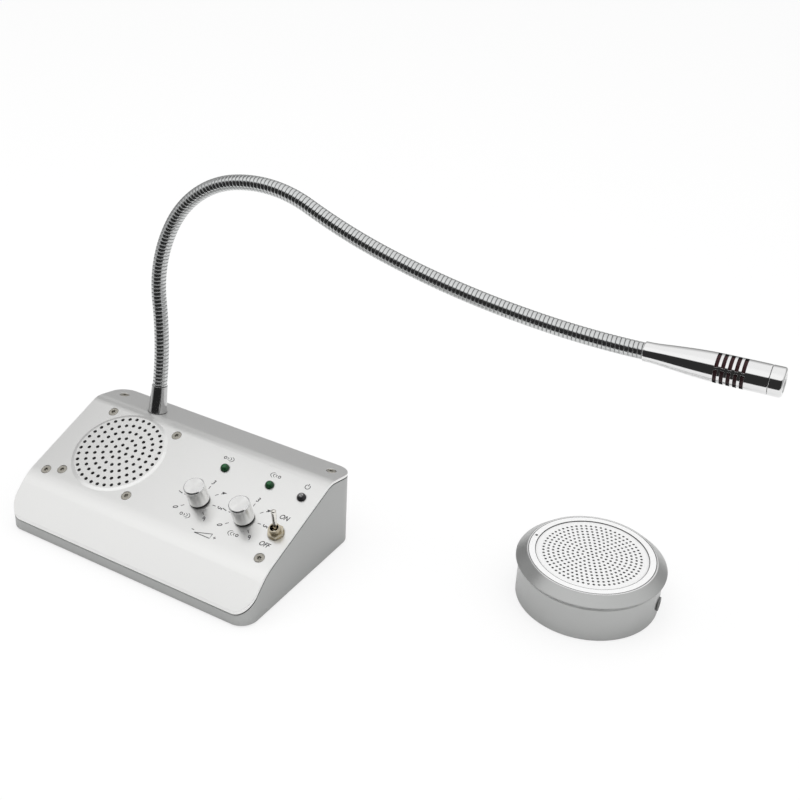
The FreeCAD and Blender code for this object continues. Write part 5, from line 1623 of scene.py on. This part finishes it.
    def cap(self) -> Skin:
        """End cap: a spigot in the barrel, a rounded rim, and a dished face with a port in its middle.

        Returns:
            The surface about Z.
        """
        end, rim, port = self.cap_end, self.cap_radius, self.port_radius
        floor, foot = end - self.dish_depth, self.cap_at + 0.1
        spigot_radius = self.bore - self.spigot_play
        return lathe(rounded([
            (port, end - self.port_depth, 0), (port, end - self.spigot, 0),
            (spigot_radius, self.cap_at - self.spigot, 0), (spigot_radius, foot, 0), (rim - 0.15, foot, 0.1),
            (rim, foot + 0.2, 0.2), (rim, end, 1.45), (self.dish_radius + self.dish_depth, end, 0.3),
            (self.dish_radius, floor, 0.3), (port + 0.6, floor, 0.2), (port, end - self.port_depth, 0),
        ], 9), 96)

    def build(self, shop: Workshop) -> None:
        """Make the barrel and the cap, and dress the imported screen, capsule and boot inside.

        Args:
            shop: makes and dresses the pieces.
        """
        place = LAYOUT.neck[-1]
        shop.make("mic_barrel_shell", self.barrel().carried(place), "chrome", "neck_8", ["mic_barrel"], 30.0)
        shop.make("mic_cap", self.cap().carried(place), "chrome", "neck_8", ["mic_end_cap"], 30.0)
        shop.dress({"mic_screen": "screen_cloth", "mic_capsule": "plain_steel", "mic_boot": "rubber"})


# ---------------------------------------------------------------- outside unit


@dataclass
class OutsideUnit:
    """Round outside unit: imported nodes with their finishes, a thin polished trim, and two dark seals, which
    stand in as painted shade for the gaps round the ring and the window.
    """

    ring_radius: float = 33.6
    lip_radius: float = 34.7
    window_radius: float = 30.1
    height: float = 27.0
    lip_span: tuple[float, float] = (0.12, -0.02)       # out from the ring, and from the lip's radius
    lip_rise: float = 0.12
    ring_span: tuple[float, float] = (-0.18, 0.14)      # of the dark seal round the ring, painted shade for its gap
    window_span: tuple[float, float] = (-0.12, 0.16)    # of the dark seal round the window, painted shade for its gap
    seal_rise: float = 0.03
    ring_depth: float = 0.6
    window_depth: float = 0.9
    top_round: float = 0.35                             # share of a trim's width
    finishes: dict[str, str] = field(default_factory=lambda: {
        "unit_housing": "unit_silver", "unit_posts": "black_plastic", "unit_ring": "unit_trim",
        "unit_grille": "unit_mesh", "unit_speaker_frame": "zinc_frame", "unit_speaker_magnet": "ferrite",
        "unit_speaker_cone": "cone_paper", "unit_mic": "plain_steel", "unit_back_plate": "black_plastic",
        "unit_screws": "plain_steel", "unit_pad": "foam", "unit_cable_bush": "grey_rubber",
    })

    def trim(self, inner: float, outer: float, depth: float, rise: float) -> Skin:
        """Thin ring with a rounded top, set in the unit's face.

        Args:
            inner: its inner radius.
            outer: its outer radius.
            depth: of its foot under the face.
            rise: of its top over the face.

        Returns:
            The surface about Z.
        """
        low, high = self.height - depth, self.height + rise
        rounding = (outer - inner) * self.top_round
        return lathe(rounded([
            (inner, low, 0), (outer, low, 0), (outer, high, rounding), (inner, high, rounding),
            (inner, low, 0),
        ]), 160)

    def build(self, shop: Workshop) -> None:
        """Dress the unit, and lay its trim and its dark seals, which paint the shade of the gaps round the
        ring and the window.

        Args:
            shop: makes and dresses the pieces.
        """
        shop.dress(self.finishes)
        ring, lip, window = self.ring_radius, self.lip_radius, self.window_radius
        bright = self.trim(ring + self.lip_span[0], lip + self.lip_span[1], self.ring_depth, self.lip_rise)
        shop.make("unit_lip_trim", bright.carried(LAYOUT.unit), "chrome", "outside_unit")
        # thin dark rubber rings in the gaps round the ring and the window: seals, and painted shade for those
        # gaps
        gap_shade_seals = [
            self.trim(radius + span[0], radius + span[1], depth, self.seal_rise)
            for radius, span, depth in (
                (ring, self.ring_span, self.ring_depth), (window, self.window_span, self.window_depth),
            )
        ]
        shop.make("unit_gap_shade_seals", together(gap_shade_seals).carried(LAYOUT.unit), "rubber", "outside_unit")


# ---------------------------------------------------------------- studio


@dataclass
class Studio:
    """Camera, pale floor, soft light, and a white surround with a dim band in front for metal to reflect."""

    camera_place: tuple[float, float, float] = (0.372953, -0.431563, 0.406428)      # in metres
    azimuth: float = -61.2482       # of the way back from the object to the camera
    elevation: float = 29.3759
    roll: float = 3.1732
    lens: float = 54.54
    sensor: float = 36.0
    clip: tuple[float, float] = (0.01, 50.0)
    floor_size: float = 6.0
    floor_shade: float = 0.26       # share of the floor's own shading that shows under its white
    floor_white: float = 1.02       # of its own light, as the camera sees it, so that both come to white
    floor_paint: Color = (0.96, 0.96, 0.96)
    floor_middle: tuple[float, float, float] = (0.1, 0.05, 0.0)
    floor_reach: tuple[float, float] = (0.40, 0.60)     # where metal stops seeing the floor
    floor_front: tuple[float, float] = (-0.125, -0.09)  # and how far it sees it towards the front
    band_middle: float = 12.0       # turned from -Y towards +X
    band_side: tuple[float, float] = (0.48, 0.60)       # cosine of the angle from its middle
    band_low: tuple[float, float] = (-0.74, -0.62)      # sine of the elevation
    band_high: tuple[float, float] = (0.54, 0.62)
    band_tone: float = 0.03
    tones: Pairs = (
        (-1.0, 0.85), (-0.45, 0.85), (-0.2, 0.55), (0.0, 0.40), (0.25, 0.50), (0.45, 0.88), (0.65, 1.03),
        (1.0, 1.03),
    )                               # sine of the elevation, and the surround's tone there
    falloff: tuple[float, float, float] = (0.82, 1.10, 0.72)    # to the back left: from, to, what is left
    falloff_rise: tuple[float, float] = (-0.30, -0.10)          # sine of the elevation over which it sets in
    left_falloff: tuple[float, float, float] = (0.60, 0.74, 0.15)   # the same, high up on the left
    left_falloff_rise: tuple[float, float] = (0.40, 0.62)
    left_skew: float = 0.25                                     # of that side towards the back
    front_gain: tuple[float, float, float] = (0.05, 0.45, 1.08)
    lamp_place: tuple[float, float, float] = (0.0, -0.1, 1.3)   # in metres
    lamp_aim: tuple[float, float, float] = (0.1, 0.05, 0.05)
    lamp_size: float = 1.2
    lamp_power: float = 5.0

    def camera(self) -> None:
        """Make the camera: rolled, then raised to its elevation, then turned to its azimuth."""
        data = bpy.data.cameras.new("camera")
        data.lens, data.sensor_width = self.lens, self.sensor
        data.clip_start, data.clip_end = self.clip
        camera = bpy.data.objects.new("camera", data)
        axes = turn("z", self.azimuth + 90) @ turn("x", 90 - self.elevation) @ turn("z", self.roll)
        camera.matrix_world = Matrix.Translation(self.camera_place) @ Matrix(axes.tolist()).to_4x4()
        bpy.context.scene.collection.objects.link(camera)
        bpy.context.scene.camera = camera

    def floor(self) -> None:
        """Lay the floor: white to the camera, with a share of its own shading, so that it keeps shadows."""
        half = self.floor_size / 2
        mesh = bpy.data.meshes.new("floor")
        corners = [(-half, -half, 0), (half, -half, 0), (half, half, 0), (-half, half, 0)]
        mesh.from_pydata(corners, [], [(0, 1, 2, 3)])
        floor = bpy.data.objects.new("floor", mesh)
        bpy.context.scene.collection.objects.link(floor)
        material = bpy.data.materials.new("floor_white")
        material.use_nodes = True
        w = Wiring(material.node_tree)
        rays = w.add("ShaderNodeLightPath").outputs
        shaded = w.add("ShaderNodeBsdfDiffuse", {"Color": (*self.floor_paint, 1)}).outputs[0]
        white = w.add("ShaderNodeEmission", {"Color": (1, 1, 1, 1), "Strength": self.floor_white}).outputs[0]
        share = w.math("MULTIPLY", rays["Is Camera Ray"], 1 - self.floor_shade)
        mixed = w.add("ShaderNodeMixShader", {0: share, 1: shaded, 2: white}).outputs[0]
        place = w.add("ShaderNodeTexCoord").outputs["Object"]
        far = w.add("ShaderNodeVectorMath", {0: place, 1: self.floor_middle},
                    operation="DISTANCE").outputs["Value"]
        ahead = w.add("ShaderNodeSeparateXYZ", {0: place}).outputs["Y"]
        beyond = w.math("MAXIMUM", w.spread(far, *self.floor_reach, 0.0, 1.0),
                        w.spread(ahead, *self.floor_front, 1.0, 0.0))
        gone = w.math("MULTIPLY", rays["Is Glossy Ray"], beyond)
        clear = w.add("ShaderNodeBsdfTransparent").outputs[0]
        faded = w.add("ShaderNodeMixShader", {0: gone, 1: mixed, 2: clear}).outputs[0]
        w.add("ShaderNodeOutputMaterial", {"Surface": faded})
        mesh.materials.append(material)
        LOG.info("floor: %.1f m square", self.floor_size)

    def surround(self) -> None:
        """Make the world: white to the camera; to all else bright above, grey low down, dark in front."""
        world = bpy.data.worlds.new("studio")
        bpy.context.scene.world = world
        world.use_nodes = True
        w = Wiring(world.node_tree)
        way = w.add("ShaderNodeTexCoord").outputs["Generated"]
        parts = w.add("ShaderNodeSeparateXYZ", {0: way}).outputs
        ramp = w.add("ShaderNodeValToRGB", {0: w.spread(parts["Z"], -1.0, 1.0, 0.0, 1.0)})
        ramp.color_ramp.interpolation = "LINEAR"
        self._fill(ramp.color_ramp)
        lit = w.scaled(ramp.outputs["Color"], self._gain(w, parts["X"], parts["Y"], parts["Z"]))
        dim = (self.band_tone, self.band_tone, self.band_tone, 1)
        mixed = w.between(self._band(w, way, parts["Z"]), lit, dim)
        light = w.add("ShaderNodeBackground", {"Color": mixed, "Strength": 1.0}).outputs[0]
        white = w.add("ShaderNodeBackground", {"Color": (1, 1, 1, 1), "Strength": 1.0}).outputs[0]
        seen = w.add("ShaderNodeLightPath").outputs["Is Camera Ray"]
        shown = w.add("ShaderNodeMixShader", {0: seen, 1: light, 2: white}).outputs[0]
        w.add("ShaderNodeOutputWorld", {"Surface": shown})

    def _gain(self, w: Wiring, x: Socket, y: Socket, z: Socket) -> Socket:
        """Gain of the surround's tone by direction: less to the back left and the high left, more in front.

        Args:
            w: the world's nodes.
            x: part of the direction along X.
            y: along Y.
            z: along Z.

        Returns:
            The gain.
        """
        to_left = w.math("ADD", w.math("MULTIPLY", x, -1.0), w.math("MULTIPLY", y, self.left_skew))
        gain = w.spread(w.math("MULTIPLY", y, -1.0), *self.front_gain[:2], 1.0, self.front_gain[2])
        for side, falloff, rise in (
            (w.math("SUBTRACT", y, x), self.falloff, self.falloff_rise),
            (to_left, self.left_falloff, self.left_falloff_rise),
        ):
            risen = w.spread(z, *rise, 0.0, 1.0)
            fallen = w.spread(side, *falloff[:2], 0.0, 1 - falloff[2])
            gain = w.math("MULTIPLY", gain, w.math("SUBTRACT", 1.0, w.math("MULTIPLY", risen, fallen)))
        return gain

    def _band(self, w: Wiring, way: Socket, z: Socket) -> Socket:
        """Share of the dark band in front, with soft edges.

        Args:
            w: the world's nodes.
            way: the direction.
            z: its part along Z.

        Returns:
            The share.
        """
        middle = math.radians(self.band_middle)
        ahead = w.add("ShaderNodeVectorMath", {0: way, 1: (math.sin(middle), -math.cos(middle), 0.0)},
                      operation="DOT_PRODUCT").outputs["Value"]
        front = w.spread(ahead, *self.band_side, 0.0, 1.0)
        below = w.spread(z, *self.band_low, 0.0, 1.0)
        above = w.spread(z, *self.band_high, 1.0, 0.0)
        return w.math("MULTIPLY", front, w.math("MULTIPLY", below, above))

    def _fill(self, ramp: bpy.types.ColorRamp) -> None:
        """Set the tones by the sine of the elevation. The ramp's input has been eased, so its stops are too.

        Args:
            ramp: the ramp to fill.
        """
        stops = [((z + 1) / 2, tone) for z, tone in self.tones]
        stops = [(t * t * (3 - 2 * t), tone) for t, tone in stops]
        while len(ramp.elements) < len(stops):
            ramp.elements.new(0.5)
        for element, (place, tone) in zip(ramp.elements, stops):
            element.position = place
            element.color = (tone, tone, tone, 1)

    def lamp(self) -> None:
        """Hang one soft square lamp that shines at the object, and that metal doesn't mirror."""
        data = bpy.data.lights.new("overhead_softbox", "AREA")
        data.shape, data.size, data.energy = "SQUARE", self.lamp_size, self.lamp_power
        lamp = bpy.data.objects.new("overhead_softbox", data)
        aim = Vector(self.lamp_place) - Vector(self.lamp_aim)
        facing = aim.to_track_quat("Z", "Y").to_matrix().to_4x4()
        lamp.matrix_world = Matrix.Translation(self.lamp_place) @ facing
        lamp.visible_glossy = False
        bpy.context.scene.collection.objects.link(lamp)

    def build(self) -> None:
        """Set up the studio."""
        self.camera()
        self.floor()
        self.surround()
        self.lamp()
        bpy.context.scene.view_settings.view_transform = "Standard"
        LOG.info("studio: camera, surround and one lamp")


# ---------------------------------------------------------------- the whole


def main() -> None:
    """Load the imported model, dress it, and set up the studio."""
    logging.basicConfig(level=logging.INFO, format="%(name)s: %(message)s")
    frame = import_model()
    shop = Workshop(frame)
    pieces = (
        Console(), SocketScrews(), Knob("internal", 22.3), Knob("external", 52.0), Toggle(),
        Lamp("inner_lamp", 22.3, "green_lens"), Lamp("outer_lamp", 52.2, "green_lens"),
        Lamp("power_lamp", 72.9, "grey_lens"), PanelPrint(), Ferrule(), Hose(), Microphone(), OutsideUnit(),
    )
    for piece in pieces:
        piece.build(shop)
    Studio().build()


if __name__ == "__main__":
    main()
